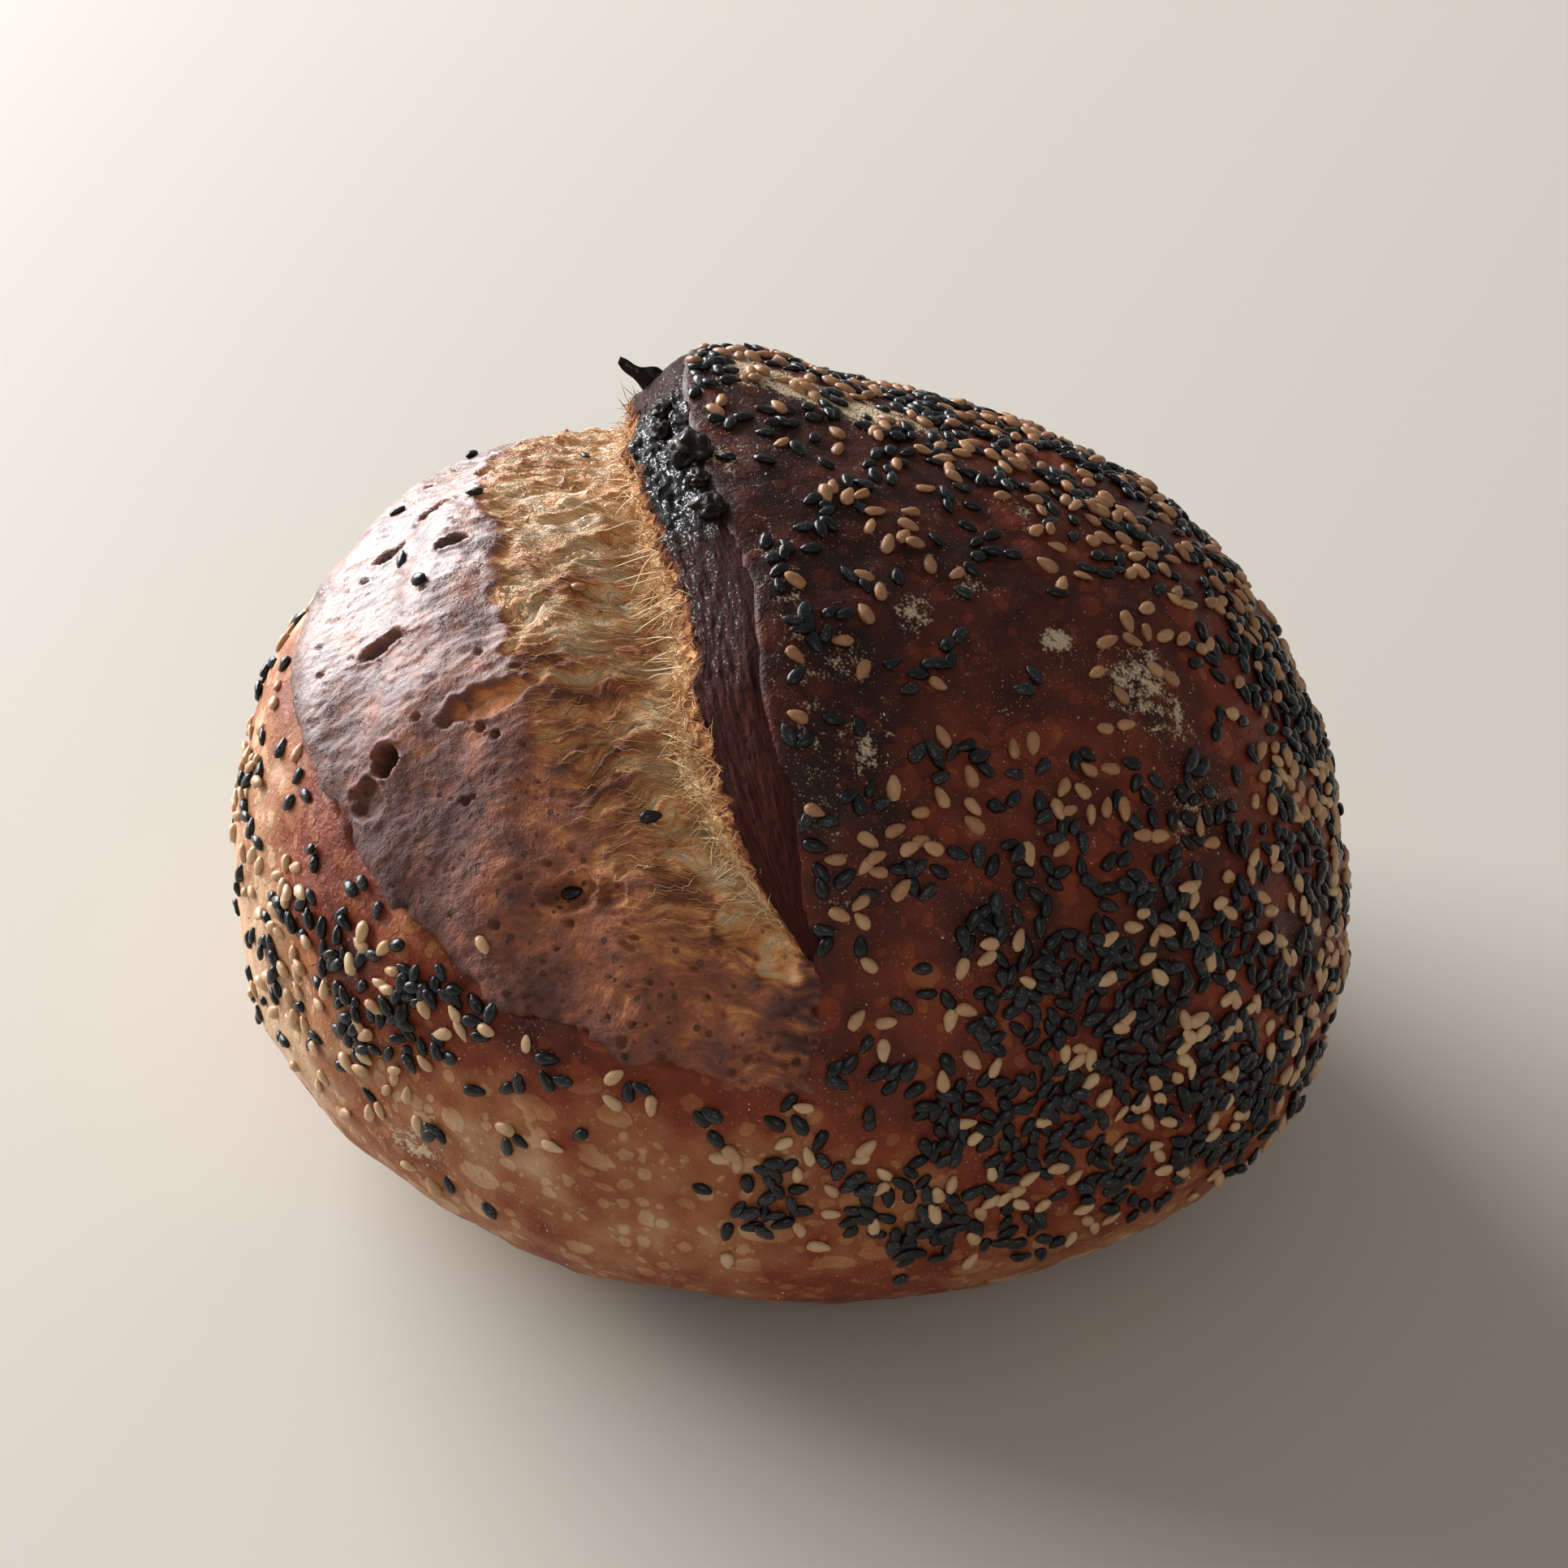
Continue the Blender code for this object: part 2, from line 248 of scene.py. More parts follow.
flour = flour_at(crust_meridian, crust_place)
ridge_dust = (0.22 * np.exp(-((beside_line - ridge - 4) / 2.5) ** 2) * smooth_step(-crust_place, 8, 20)
              * ear_opening(crust_place))
flour = np.maximum(flour, ridge_dust)

crust_x, crust_y = crust_spots[:, 0], crust_spots[:, 1]
crust_level = crust_smooth[:, 2] / MM
rightness = smooth_step(crust_x, -25, 45)
bake_level = crust_level + 7 * waves(crust_spots, 30, 5)
bake = 0.33 + 0.48 * smooth_step(bake_level, 34 - 22 * rightness, 82 - 4 * rightness)
# Painted light: the left and back flank is paler towards the window.
bake -= 0.3 * smooth_step(-crust_x + 0.5 * crust_y, 25, 78) * smooth_step(crust_level, 5, 40)
bake += 0.12 * smooth_step(crust_level, 88, 108)
# Painted shade: the right side is darker in its middle band, which faces away from the window.
bake += 0.1 * rightness * smooth_step(crust_level, 20, 50) * smooth_step(-crust_level, -75, -45)
# Painted sheen: the upper right of the crust is lighter.
bake -= 0.1 * smooth_step(crust_x, 10, 50) * smooth_step(crust_level, 65, 90)
bake += 0.12 * np.exp(-((crust_x - 12) / 26) ** 2) * smooth_step(-crust_level, -22, -8) * (crust_y < 0)
bake -= (0.06 * smooth_step(-crust_level, -14, -2)
         - 0.05 * (1 - rightness) * smooth_step(-crust_level, -30, -8))
bake -= 0.13 * np.exp(-(near(crust_meridian, crust_place, -10, -76) / 24) ** 2)
bake += (0.1 * smooth_step(-np.abs(beside_line - 10), -22, -2) * ear_opening(crust_place)
         * smooth_step(beside_line, 0, 4))
bake += 0.03 * smooth_step(-np.abs(inset + 3), -8, 0) * smooth_step(-beside_line, -3, 4)
# Painted light: the far left flank is paler still, where the window lights it most.
bake -= 0.17 * smooth_step(-crust_x, 64, 82) * smooth_step(crust_level, 8, 30)
bake += 0.14 * np.exp(-((crust_x - 4) / 30) ** 2) * smooth_step(-crust_level, -46, -26) * (crust_y < 0)
bake += 0.11 * waves(crust_spots, 16, 6) + 0.07 * waves(crust_spots, 5, 7)

crust_points = on_loaf(crust_meridian, crust_place, crust_height)
crust_mesh.vertices.foreach_set("co", crust_points.ravel())
crust_mesh.shade_smooth()
mark(crust_mesh, "bake", np.clip(bake, 0, 1))
mark(crust_mesh, "blister", blister)
mark(crust_mesh, "flour", flour)


class Value:
    """A socket of a material's nodes. Sums on it add Math nodes."""

    def __init__(self, finish, socket):
        self.finish, self.socket = finish, socket

    def maths(self, operation, first, second):
        return self.finish.node("ShaderNodeMath", {"operation": operation}, {0: first, 1: second})

    def __add__(self, other):
        return self.maths("ADD", self, other)

    def __sub__(self, other):
        return self.maths("SUBTRACT", self, other)

    def __rsub__(self, other):
        return self.maths("SUBTRACT", other, self)

    def __mul__(self, other):
        return self.maths("MULTIPLY", self, other)

    def __abs__(self):
        return self.maths("ABSOLUTE", self, 0)

    __radd__, __rmul__ = __add__, __mul__


class Finish:
    """A material with one Principled shader, and the nodes that feed it."""

    def __init__(self, name, uniform):
        self.material = bpy.data.materials.new(name)
        self.material.use_nodes = True
        self.tree = self.material.node_tree
        self.shader = self.tree.nodes["Principled BSDF"]
        for socket, value in uniform.items():
            self.shader.inputs[socket].default_value = value

    def node(self, kind, settings, sockets, output=0):
        """Adds a node: its settings first, then its sockets' values or links."""
        node = self.tree.nodes.new(kind)
        for name, value in settings.items():
            if name == "stops":
                ramp = node.color_ramp.elements
                while len(ramp) < len(value):
                    ramp.new(1)
                for element, (position, colour) in zip(ramp, value):
                    element.position, element.color = position, (*colour, 1)
            else:
                setattr(node, name, value)
        for name, value in sockets.items():
            self.feed(node.inputs[name], value)
        return Value(self, node.outputs[output])

    def feed(self, socket, value):
        if isinstance(value, Value):
            self.tree.links.new(value.socket, socket)
        elif socket.type == "RGBA":
            socket.default_value = (*value, 1)
        else:
            socket.default_value = value

    def read(self, name, output="Fac"):
        """What the mesh keeps under a name."""
        return self.node("ShaderNodeAttribute", {"attribute_name": name}, {}, output)

    def rise(self, value, low, high):
        """0 below low, 1 above high."""
        return self.node("ShaderNodeMapRange", {"interpolation_type": "SMOOTHSTEP"},
                         {"Value": value, "From Min": low, "From Max": high})

    def mix(self, share, first, second):
        return self.node("ShaderNodeMix", {"data_type": "RGBA"}, {0: share, 6: first, 7: second}, 2)

    def ramp(self, value, stops):
        return self.node("ShaderNodeValToRGB", {"stops": stops}, {"Fac": value})

    def noise(self, vector, scale, detail=2, roughness=0.5):
        return self.node("ShaderNodeTexNoise", {}, {"Vector": vector, "Scale": scale, "Detail": detail,
                                                   "Roughness": roughness})

    def spot(self):
        """The spot on the object, in metres."""
        return self.node("ShaderNodeTexCoord", {}, {}, "Object")

    def bent(self, vector, scale, detail, reach):
        """A vector moved about by a noise, so that a pattern on it bends."""
        push = self.node("ShaderNodeTexNoise", {}, {"Vector": vector, "Scale": scale, "Detail": detail},
                         "Color")
        return self.node("ShaderNodeVectorMath", {"operation": "MULTIPLY_ADD"},
                         {0: push, 1: reach, 2: vector})

    def cells(self, vector, scale, channel):
        """Round cells: the distance from each one's middle, and a random size of its own."""
        sockets = {"Vector": vector, "Scale": scale}
        middle = self.node("ShaderNodeTexVoronoi", {}, sockets, "Distance")
        kind = self.node("ShaderNodeTexVoronoi", {}, sockets, "Color")
        return middle, self.node("ShaderNodeSeparateColor", {}, {"Color": kind}, channel)

    def stretched(self, vector, scales):
        """A vector with its three numbers scaled apart."""
        return self.node("ShaderNodeVectorMath", {"operation": "MULTIPLY"}, {0: vector, 1: scales})

    def finished(self, colour, roughness, height, coat=None):
        """Feeds the shader: colour, roughness and coat from 0 to 1, and the height of the relief in mm."""
        self.feed(self.shader.inputs["Base Color"], colour)
        self.feed(self.shader.inputs["Roughness"], roughness)
        if coat is not None:
            self.feed(self.shader.inputs["Coat Weight"], coat)
        bump = self.node("ShaderNodeBump", {}, {"Strength": 1.0, "Distance": MM, "Height": height})
        self.feed(self.shader.inputs["Normal"], bump)
        return self.material


CRUST_TAN, CRUST_GOLD, CRUST_RED = (0.60, 0.37, 0.21), (0.38, 0.145, 0.056), (0.225, 0.042, 0.018)
CRUST_MAHOGANY, CRUST_BLACK = (0.095, 0.020, 0.012), (0.030, 0.010, 0.008)
FLOUR_COLOUR = (0.64, 0.50, 0.34)

crust_finish = Finish("baked_crust", {"Coat Roughness": 0.35, "Specular IOR Level": 0.16})
at = crust_finish.spot()
fine = crust_finish.noise(at, 1400, 3, 0.6)
mottle = crust_finish.noise(at, 260, 3, 0.55)
cloud = crust_finish.noise(at, 70, 2)
warped = crust_finish.bent(at, 420.0, 1.0, (0.0016,) * 3)
bubbles, bubble_size = crust_finish.cells(warped, 360.0, "Red")
small_blister = crust_finish.rise(bubble_size * 0.72 - bubbles - 0.14, 0.0, 0.13)
pimple, pimple_size = crust_finish.cells(warped, 900.0, "Green")
pimples = crust_finish.rise(pimple_size * 0.6 - pimple - 0.16, 0.0, 0.12)
big_blister = crust_finish.rise(crust_finish.read("blister") + (mottle - 0.5) * 0.35, 0.2, 0.48)
blisters = big_blister.maths("MAXIMUM", small_blister * 0.9, big_blister)
blisters = blisters.maths("MAXIMUM", pimples * 0.7, blisters)
baked_and_shaded = crust_finish.read("bake") + (mottle - 0.5) * 0.36 + (cloud - 0.5) * 0.34 - 0.01
baked_and_shaded = baked_and_shaded - blisters * (0.235 - crust_finish.read("bake") * 0.1)
crust_colour = crust_finish.ramp(baked_and_shaded, ((0.0, CRUST_TAN), (0.26, CRUST_GOLD), (0.52, CRUST_RED),
                                         (0.78, CRUST_MAHOGANY), (1.0, CRUST_BLACK)))
grains = crust_finish.node("ShaderNodeTexVoronoi", {}, {"Vector": at, "Scale": 2100.0, "Randomness": 1.0},
                           "Distance")
dust = crust_finish.rise(crust_finish.read("flour") + (crust_finish.noise(at, 500, 2) - 0.5) * 1.1
                         - grains * 0.45,
                         0.02, 0.3)
crust_colour = crust_finish.mix(dust, crust_colour, FLOUR_COLOUR)
crust_rough = 0.50 + dust * 0.4 + (mottle - 0.5) * 0.3
# Painted glints: tiny pale specks in the flour's colour, some of them real flour.
glint = crust_finish.rise(crust_finish.noise(at, 2600, 1, 0.5) + (cloud - 0.5) * 0.3, 0.72, 0.77)
crust_colour = crust_finish.mix(glint * 0.55, crust_colour, FLOUR_COLOUR)
crust_relief = fine * 0.24 + mottle * 0.36 + small_blister * 0.16 + pimples * 0.1 + dust * (1 - grains) * 0.25
crust_coat = (1 - dust) * (1 - crust_finish.rise(crust_finish.read("bake"), 0.08, 0.4)) * 0.4 + 0.04
crust_finish.finished(crust_colour, crust_rough, crust_relief, crust_coat)


def added(name, data):
    """A new object in the scene."""
    thing = bpy.data.objects.new(name, data)
    bpy.context.scene.collection.objects.link(thing)
    return thing


crust = added("crust", crust_mesh)
crust_mesh.materials.append(crust_finish.material)
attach(crust, "root")

# The ear: the flap of skin that the score's slanting cut lifted in the oven. Its bare upper strip baked to a
# dark plum brown, nearly black along the top, and its torn edge below is golden and frayed.
EAR_ROWS, EAR_COLUMNS = 640, 92
EAR_ENDS = (-65, 59)

# The flap in section, from under the crust over the strip, round the torn edge and back under the bloom:
# (mm right of the line, mm above the loaf, share of the columns up to the next point).
FLAP = ((9.5, 3.2, 3), (8.2, 4.5, 4), (6.8, 5.1, 12), (4.6, 4.8, 12), (1.6, 3.3, 16), (-1.5, 1.8, 5),
        (-2.6, 0.9, 5), (-3.5, -0.3, 9), (-4.9, -1.8, 9), (-6.0, -3.3, 9), (-6.4, -5.6, 4), (-2.0, -8.0, 2),
        (7.0, -5.0, 2))


def closed_tube(name, loops):
    """A closed mesh through loops of points, with one more point in the middle of each end."""
    rows, around = loops.shape[:2]
    points = np.concatenate([loops.reshape(-1, 3), loops[:1].mean(1), loops[-1:].mean(1)])
    step = np.arange(around)
    row = np.arange(rows - 1)[:, None] * around
    here, beside = (row + step).ravel(), (row + (step + 1) % around).ravel()
    faces = np.stack([here, beside, beside + around, here + around], 1).tolist()
    last = (rows - 1) * around
    faces += [(i, rows * around, (i + 1) % around) for i in range(around)]
    faces += [(last + i, last + (i + 1) % around, rows * around + 1) for i in range(around)]
    mesh = bpy.data.meshes.new(name)
    mesh.from_pydata(points.tolist(), [], faces)
    body = bmesh.new()
    body.from_mesh(mesh)
    bmesh.ops.recalc_face_normals(body, faces=body.faces)
    body.to_mesh(mesh)
    body.free()
    mesh.shade_smooth()
    return mesh


def with_ends(values):
    """Values for each point of a closed tube, from those of its loops."""
    return np.concatenate([values.reshape(-1), values[:1].mean(1), values[-1:].mean(1)])


def each_row(column):
    """Values for each point of the ear's mesh, from those of one section."""
    return with_ends(np.tile(column, (EAR_ROWS, 1)))


flap_x, flap_h, flap_share = np.array(FLAP, float).T
flap_turn = np.concatenate([[0], np.cumsum(flap_share)])
flap_at = np.linspace(0, flap_turn[-1], EAR_COLUMNS, endpoint=False)
flap_x = np.interp(flap_at, flap_turn, np.append(flap_x, flap_x[0]))
flap_h = np.interp(flap_at, flap_turn, np.append(flap_h, flap_h[0]))
for _ in range(3):
    flap_x = (np.roll(flap_x, 1) + 2 * flap_x + np.roll(flap_x, -1)) / 4
    flap_h = (np.roll(flap_h, 1) + 2 * flap_h + np.roll(flap_h, -1)) / 4
flap_along = np.cumsum(np.hypot(flap_x - np.roll(flap_x, 1), flap_h - np.roll(flap_h, 1)))
edge_start = flap_turn[5]
torn_column = (smooth_step(flap_at, edge_start - 1, edge_start + 6)
               * smooth_step(-flap_at, -flap_turn[11], -flap_turn[10]))
edge_column = np.exp(-((flap_at - edge_start - 4) / 6) ** 2)
strip_column = smooth_step(flap_at, flap_turn[1], flap_turn[2] + 3)

ear_place = np.linspace(*EAR_ENDS, EAR_ROWS)
ear_on = np.repeat(ear_place[:, None], EAR_COLUMNS, 1)
open_at, wide_at = ear_opening(ear_on), ear_width(ear_on) / EAR_WIDTH
ear_uv = np.stack([ear_on * PLACE_MM, np.broadcast_to(flap_along, ear_on.shape), np.zeros_like(ear_on)],
                  -1).reshape(-1, 3)
along_only = ear_uv * (1, 0, 0)
tear = 0.9 * waves(along_only, 7, 21) + 0.55 * waves(along_only, 2.6, 22) + 0.3 * waves(along_only, 1.1, 23)
streaks = waves(ear_uv * (0.22, 1, 1), 0.9, 24) + 0.6 * waves(ear_uv * (0.3, 1, 1), 0.45, 25)
fray = waves(ear_uv, 1.0, 26) + 0.8 * waves(ear_uv, 0.55, 27)
broad = 1 + 0.3 * waves(along_only, 9, 46) + 0.2 * waves(along_only, 3.5, 47)
tear, streaks, fray, broad = (v.reshape(ear_on.shape) for v in (tear, streaks, fray, broad))
broad = broad * (0.36 + 0.64 * smooth_step(ear_on, -54, -42) * smooth_step(-ear_on, 2, 30))
flap_x = np.where(torn_column > 0, -2.6 + (flap_x + 2.6) * np.where(flap_x < -2.6, broad, 1), flap_x)
ear_x = flap_x * wide_at + tear * edge_column * open_at + 0.5 * fray * torn_column * open_at
ear_h = flap_h * open_at + (tip_rise(ear_on) * open_at) * np.clip(flap_h / RIDGE_HEIGHT, 0, 1)
clear_column = smooth_step(flap_at, flap_turn[2] + 1, flap_turn[3] + 3)
ear_h += (0.14 * streaks * clear_column * open_at + 0.5 * fray * torn_column * open_at
          + 0.3 * tear * edge_column * open_at)
ear_h -= 1.5 * (1 - smooth_step(open_at, 0, 0.12))
burn = smooth_step(ear_on, -22, -9) * smooth_step(-ear_on, -13, -3) * strip_column
ear_h += burn * (0.45 * waves(ear_uv, 2.6, 29) + 0.25 * waves(ear_uv, 1.2, 30)).reshape(ear_on.shape)
ear_h += 0.35 * waves(along_only, 12, 28).reshape(ear_on.shape) * clear_column
ear_meridian = smooth_line(ear_on, EAR_LINE) + ear_x / degree_at(ear_on)
ear_loops = on_loaf(ear_meridian.ravel(), ear_on.ravel(), ear_h.ravel()).reshape(EAR_ROWS, EAR_COLUMNS, 3)

ear_mesh = closed_tube("ear", ear_loops)
char = smooth_step(ear_on, -22, -9) * smooth_step(-ear_on, -13, -3)
char = np.maximum(char, 0.35 * smooth_step(-np.abs(ear_on), -46, -20))
mark(ear_mesh, "torn", each_row(torn_column))
mark(ear_mesh, "char", with_ends(char))
mark(ear_mesh, "down", each_row(np.interp(flap_at, (edge_start, flap_turn[8]), (0, 1))))
mark(ear_mesh, "border", each_row(1 - smooth_step(flap_at, flap_turn[1], flap_turn[3] + 2)))
mark(ear_mesh, "along", np.concatenate([ear_uv, ear_uv[:2]]))

PLUM, RED_STRIP, CHAR = (0.020, 0.008, 0.008), (0.070, 0.018, 0.013), (0.006, 0.005, 0.005)
STRIP_BORDER, FRINGE_DARK = (0.045, 0.014, 0.011), (0.09, 0.03, 0.016)
FRINGE_RUST, FRINGE_GOLD, FRINGE_CREAM = (0.27, 0.095, 0.042), (0.60, 0.30, 0.12), (0.84, 0.62, 0.37)

ear_finish = Finish("bare_ear", {"Coat Roughness": 0.15, "Specular IOR Level": 0.05})
along = ear_finish.read("along", "Vector")
torn = ear_finish.read("torn")
charred = ear_finish.read("char")
long_streak = ear_finish.noise(ear_finish.stretched(along, (0.35, 2.2, 1)), 1.0, 4, 0.65)
speck = ear_finish.noise(along, 1.6, 3, 0.6)
pit = ear_finish.node("ShaderNodeTexVoronoi", {},
                      {"Vector": ear_finish.stretched(along, (0.45, 1, 1)), "Scale": 0.8}, "Distance")
pits = 1 - ear_finish.rise(pit + speck * 0.3, 0.22, 0.36)
skin = ear_finish.mix(ear_finish.rise(long_streak + charred * 0.35, 0.38, 0.72), RED_STRIP, PLUM)
skin = ear_finish.mix(ear_finish.rise(charred + (speck - 0.5) * 0.8, 0.45, 0.9), skin, CHAR)
skin = ear_finish.mix(ear_finish.rise(ear_finish.read("border") + (speck - 0.5) * 1.4, 0.3, 0.8), skin,
                      STRIP_BORDER)
frayed = ear_finish.noise(along, 0.55, 5, 0.7) + (ear_finish.read("down") - 0.4) * 0.34 - charred * 0.05
frayed = ear_finish.ramp(frayed, ((0.34, FRINGE_DARK), (0.46, FRINGE_RUST), (0.58, FRINGE_GOLD),
                                  (0.72, FRINGE_CREAM)))
torn_edge = ear_finish.rise(torn + (speck - 0.5) * 0.9, 0.2, 0.6)
ear_colour = ear_finish.mix(torn_edge, skin, frayed)
ear_rough = 0.74 + torn_edge * 0.1 - charred * 0.2 + (speck - 0.5) * 0.2
ear_height = long_streak * 0.3 + speck * (0.14 + charred * 0.3) - pits * 0.25 * (1 - torn_edge)
glint = ear_finish.rise(ear_finish.noise(along, 2.4, 2, 0.6) + charred * 0.07, 0.58, 0.66)
ear_finish.finished(ear_colour, ear_rough, ear_height, glint * (1 - torn_edge) * (charred * 0.75 + 0.1))

ear = added("ear", ear_mesh)
ear_mesh.materials.append(ear_finish.material)
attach(ear, "root")

# The bloom: the crumb that burst out left of the ear while the crust was still soft. Beside the ear it is
# cream and pulled into fibres, further out it is golden, and the lobe that baked longest is mauve brown
# and rough. It grew out of the score, so it lies against the ear on one side and the crust on the other.
BLOOM_ROWS, BLOOM_COLUMNS, BLOOM_UNDER = 590, 150, 8
BLOOM_STEP, BLOOM_DIP, BLOOM_DIP_REACH = 1.1, 4.4, 17
FOLD_HEIGHT, FOLD_SPACING, FOLD_SLANT = 0.5, 24, 34

# Where the open golden fibres meet the lobe's skin, as its meridian against the place.
SKIN_LINE = ((-72, 2), (-60, -9), (-52, -19), (-41, -26), (-30, -28.5), (-18, -30.6), (-9, -30.8), (6, -33),
             (30, -33), (67, -22))

# Burst bubbles: (meridian, place, half length along the fibres, half width and depth in mm, how pale inside).
# A negative paleness is painted shade: it darkens the inside of a deep hollow.
BUBBLES = ((-33.5, -27.3, 7.4, 2.7, 1.6, 1.1), (-47.2, -28.0, 2.9, 2.5, 5.0, -0.6),
           (-51.8, -30.0, 3.4, 3.6, 1.4, 0.25), (-44.1, -14.9, 4.6, 1.5, 1.3, -0.15),
           (-31.6, -49.2, 4.4, 2.9, 1.4, 0.1), (-25.6, -50.4, 2.4, 1.9, 1.0, 0.1),
           (-5.7, -55.8, 5.6, 4.6, 1.3, 1.0), (-1.3, -59.3, 3.4, 3.8, 1.2, 1.3),
           (-38.0, 2.5, 3.2, 1.6, 1.2, -0.2), (-43.0, -1.5, 3.0, 1.5, 1.0, -0.2),
           (-33.0, 8.0, 2.2, 1.4, 1.6, -0.3), (-34.5, -6.0, 2.6, 1.2, 1.5, -0.3),
           (-12, -24, 5.5, 2.4, 1.2, 0.6), (-14, 6, 5.0, 1.8, 1.0, 0.6), (-40, 30, 5.0, 2.4, 1.8, 0.3),
           (-25, 44, 4.2, 2.4, 1.4, 0.3), (-10.2, -35.5, 2.8, 1.5, 2.2, -0.45),
           (-8.6, -40.0, 2.3, 1.4, 2.0, -0.4), (-13, -30, 3.4, 1.2, 1.6, -0.2),
           (-17.5, -9, 4.6, 1.3, 1.4, -0.15), (-20, -17, 5.0, 1.2, 1.3, -0.2), (-24, 3, 4.0, 1.2, 1.3, -0.15))
PORES = 520

bloom_place = np.linspace(BLOOM_FRONT - 1.2, BLOOM_BACK + 1.2, BLOOM_ROWS)
end = np.where(bloom_place < 0, BLOOM_FRONT - 1.25, BLOOM_BACK + 1.25)
left_limit = (BLOOM_EDGE - 1.6) * np.sqrt(np.clip(1 - np.abs(bloom_place / end) ** BLOOM_CORNER, 0, 1)) - 0.5
right_limit = (smooth_line(bloom_place, EAR_LINE)
               + (0.5 + 2.6 * ear_width(bloom_place) / EAR_WIDTH) / degree_at(bloom_place))
across = np.linspace(0, 1, BLOOM_COLUMNS) ** 1.12
bloom_on = np.repeat(bloom_place[:, None], BLOOM_COLUMNS, 1).ravel()
bloom_meridian = (right_limit[:, None] + (left_limit - right_limit)[:, None] * across).ravel()
line_at = smooth_line(bloom_on, EAR_LINE)
width_at = degree_at(bloom_on)
from_line = (line_at - bloom_meridian) * width_at
bloom_uv = np.stack([from_line, bloom_on * PLACE_MM, np.zeros_like(bloom_on)], -1)

wander = 2.0 * waves(bloom_uv, 13, 31) + 1.1 * waves(bloom_uv, 5, 32)
fibre_uv = bloom_uv + np.stack([0 * wander, wander, 0 * wander], -1)
thick_fibre = 1 - 2 * np.abs(waves(fibre_uv * (0.2, 1, 1), 1.9, 33))
thin_fibre = 1 - 2 * np.abs(waves(fibre_uv * (0.22, 1, 1), 0.95, 34))
ragged = 1.9 * waves(bloom_uv, 7, 35) + 1.0 * waves(bloom_uv, 2.4, 36)
past_skin = (smooth_line(bloom_on, SKIN_LINE) - bloom_meridian) * width_at + ragged
torn_skin = smooth_step(bloom_on, -46, -24)
lobe = smooth_step(past_skin, -0.8 - 6 * (1 - torn_skin), 0.9 + 6 * (1 - torn_skin))
calm_front = smooth_step(-bloom_on, 36, 54)
front_end = smooth_step(-bloom_on + 2 * ragged, 47, 60)
cream_zone = np.exp(-(np.maximum(from_line, 0) / 13) ** 2) * (1 - front_end)
fibre_height = (0.85 - 0.3 * cream_zone) * (1 - lobe) + 0.07 * lobe
fibre_height *= 1 - 0.72 * calm_front * (1 - 0.5 * cream_zone)

bloom_height = -BLOOM_STEP - BLOOM_DIP * np.exp(-(from_line / BLOOM_DIP_REACH) ** 2) * ear_opening(bloom_on)
bloom_height += FOLD_HEIGHT * np.sin(2 * math.pi * (from_line / FOLD_SPACING + bloom_on / FOLD_SLANT))
bloom_height += 1.0 * lobe * torn_skin + 0.45 * waves(bloom_uv, 10, 37)
bloom_height += (0.3 - 0.16 * lobe) * waves(bloom_uv * (0.6, 1, 1), 4, 38)
bloom_height += fibre_height * (0.5 * thick_fibre + 0.5 * thin_fibre)
bloom_height += (0.11 * lobe * waves(bloom_uv * (0.5, 1, 1), 1.1, 39)
                 + (0.2 - 0.13 * lobe) * waves(bloom_uv, 2.2, 44))

hollow = np.zeros(len(bloom_on))
pale_and_shade = np.zeros(len(bloom_on))
for hole_meridian, hole_place, half_length, half_width, depth, paleness_and_shade in BUBBLES:
    away = np.hypot((bloom_meridian - hole_meridian) * width_at / half_length,
                    (bloom_on - hole_place) * PLACE_MM / half_width)
    away = away + 0.16 * waves(bloom_uv, 2.2, 40)
    bloom_height += 0.35 * np.exp(-((away - 1.12) / 0.14) ** 2) - depth * (1 - smooth_step(away, 0.62, 1.02))
    hollow = np.maximum(hollow, 1 - smooth_step(away, 0.7, 1.05))
    pale_and_shade += paleness_and_shade * (1 - smooth_step(away, 0.7, 1.0))

bloom_tree = spots_tree(bloom_uv)
chance = random.Random(41)
for _ in range(PORES):
    number = chance.randrange(len(bloom_uv))
    if cream_zone[number] < 0.3 and hollow[number] < 0.2:
        radius = chance.uniform(0.36, 0.5) + 0.6 * chance.random() ** 6
        for _, other, distance in bloom_tree.find_range(bloom_uv[number], radius * 1.6):
            bloom_height[other] += 0.14 * math.exp(-((distance / radius - 1.15) / 0.25) ** 2)
            bloom_height[other] -= radius * 0.9 * math.exp(-(distance / radius / 0.8) ** 4)
            hollow[other] = max(hollow[other], 0.8 * math.exp(-(distance / radius) ** 4))

rim = bloom_inset(bloom_meridian, bloom_on)
low_front = smooth_step(-bloom_on, 34, 52)
beside_edge = (1 - smooth_step(rim, 3, 14)
               * (1 - front_end * np.exp(-((line_at - bloom_meridian) * width_at / 9) ** 2)))
bloom_height += ((0.5 + 0.45 * low_front) * beside_edge
                 - 1.5 * (1 - smooth_step(rim + 0.5 * ragged, -3, 2.8 - 1.6 * low_front)))
near_right = (right_limit[:, None] - bloom_meridian.reshape(BLOOM_ROWS, -1)).ravel() * width_at
bloom_height -= 1.8 * (1 - smooth_step(near_right + 0.8 * front_end * ragged, 0, 2.6))

toast = (0.04 + 0.3 * smooth_step(from_line + 3 * waves(bloom_uv, 9, 42), 2, 20)
         + 0.2 * (1 - cream_zone) * thick_fibre * (1 - lobe))
toast += (lobe * (0.43 - 0.22 * smooth_step(-bloom_on, 34, 52) + 0.05 * thin_fibre)
          + 0.1 * calm_front * smooth_step(from_line, 5, 16))
toast += front_end * (0.6 - 0.28 * smooth_step(from_line, 4, 20)) * (1 - lobe * 0.8)
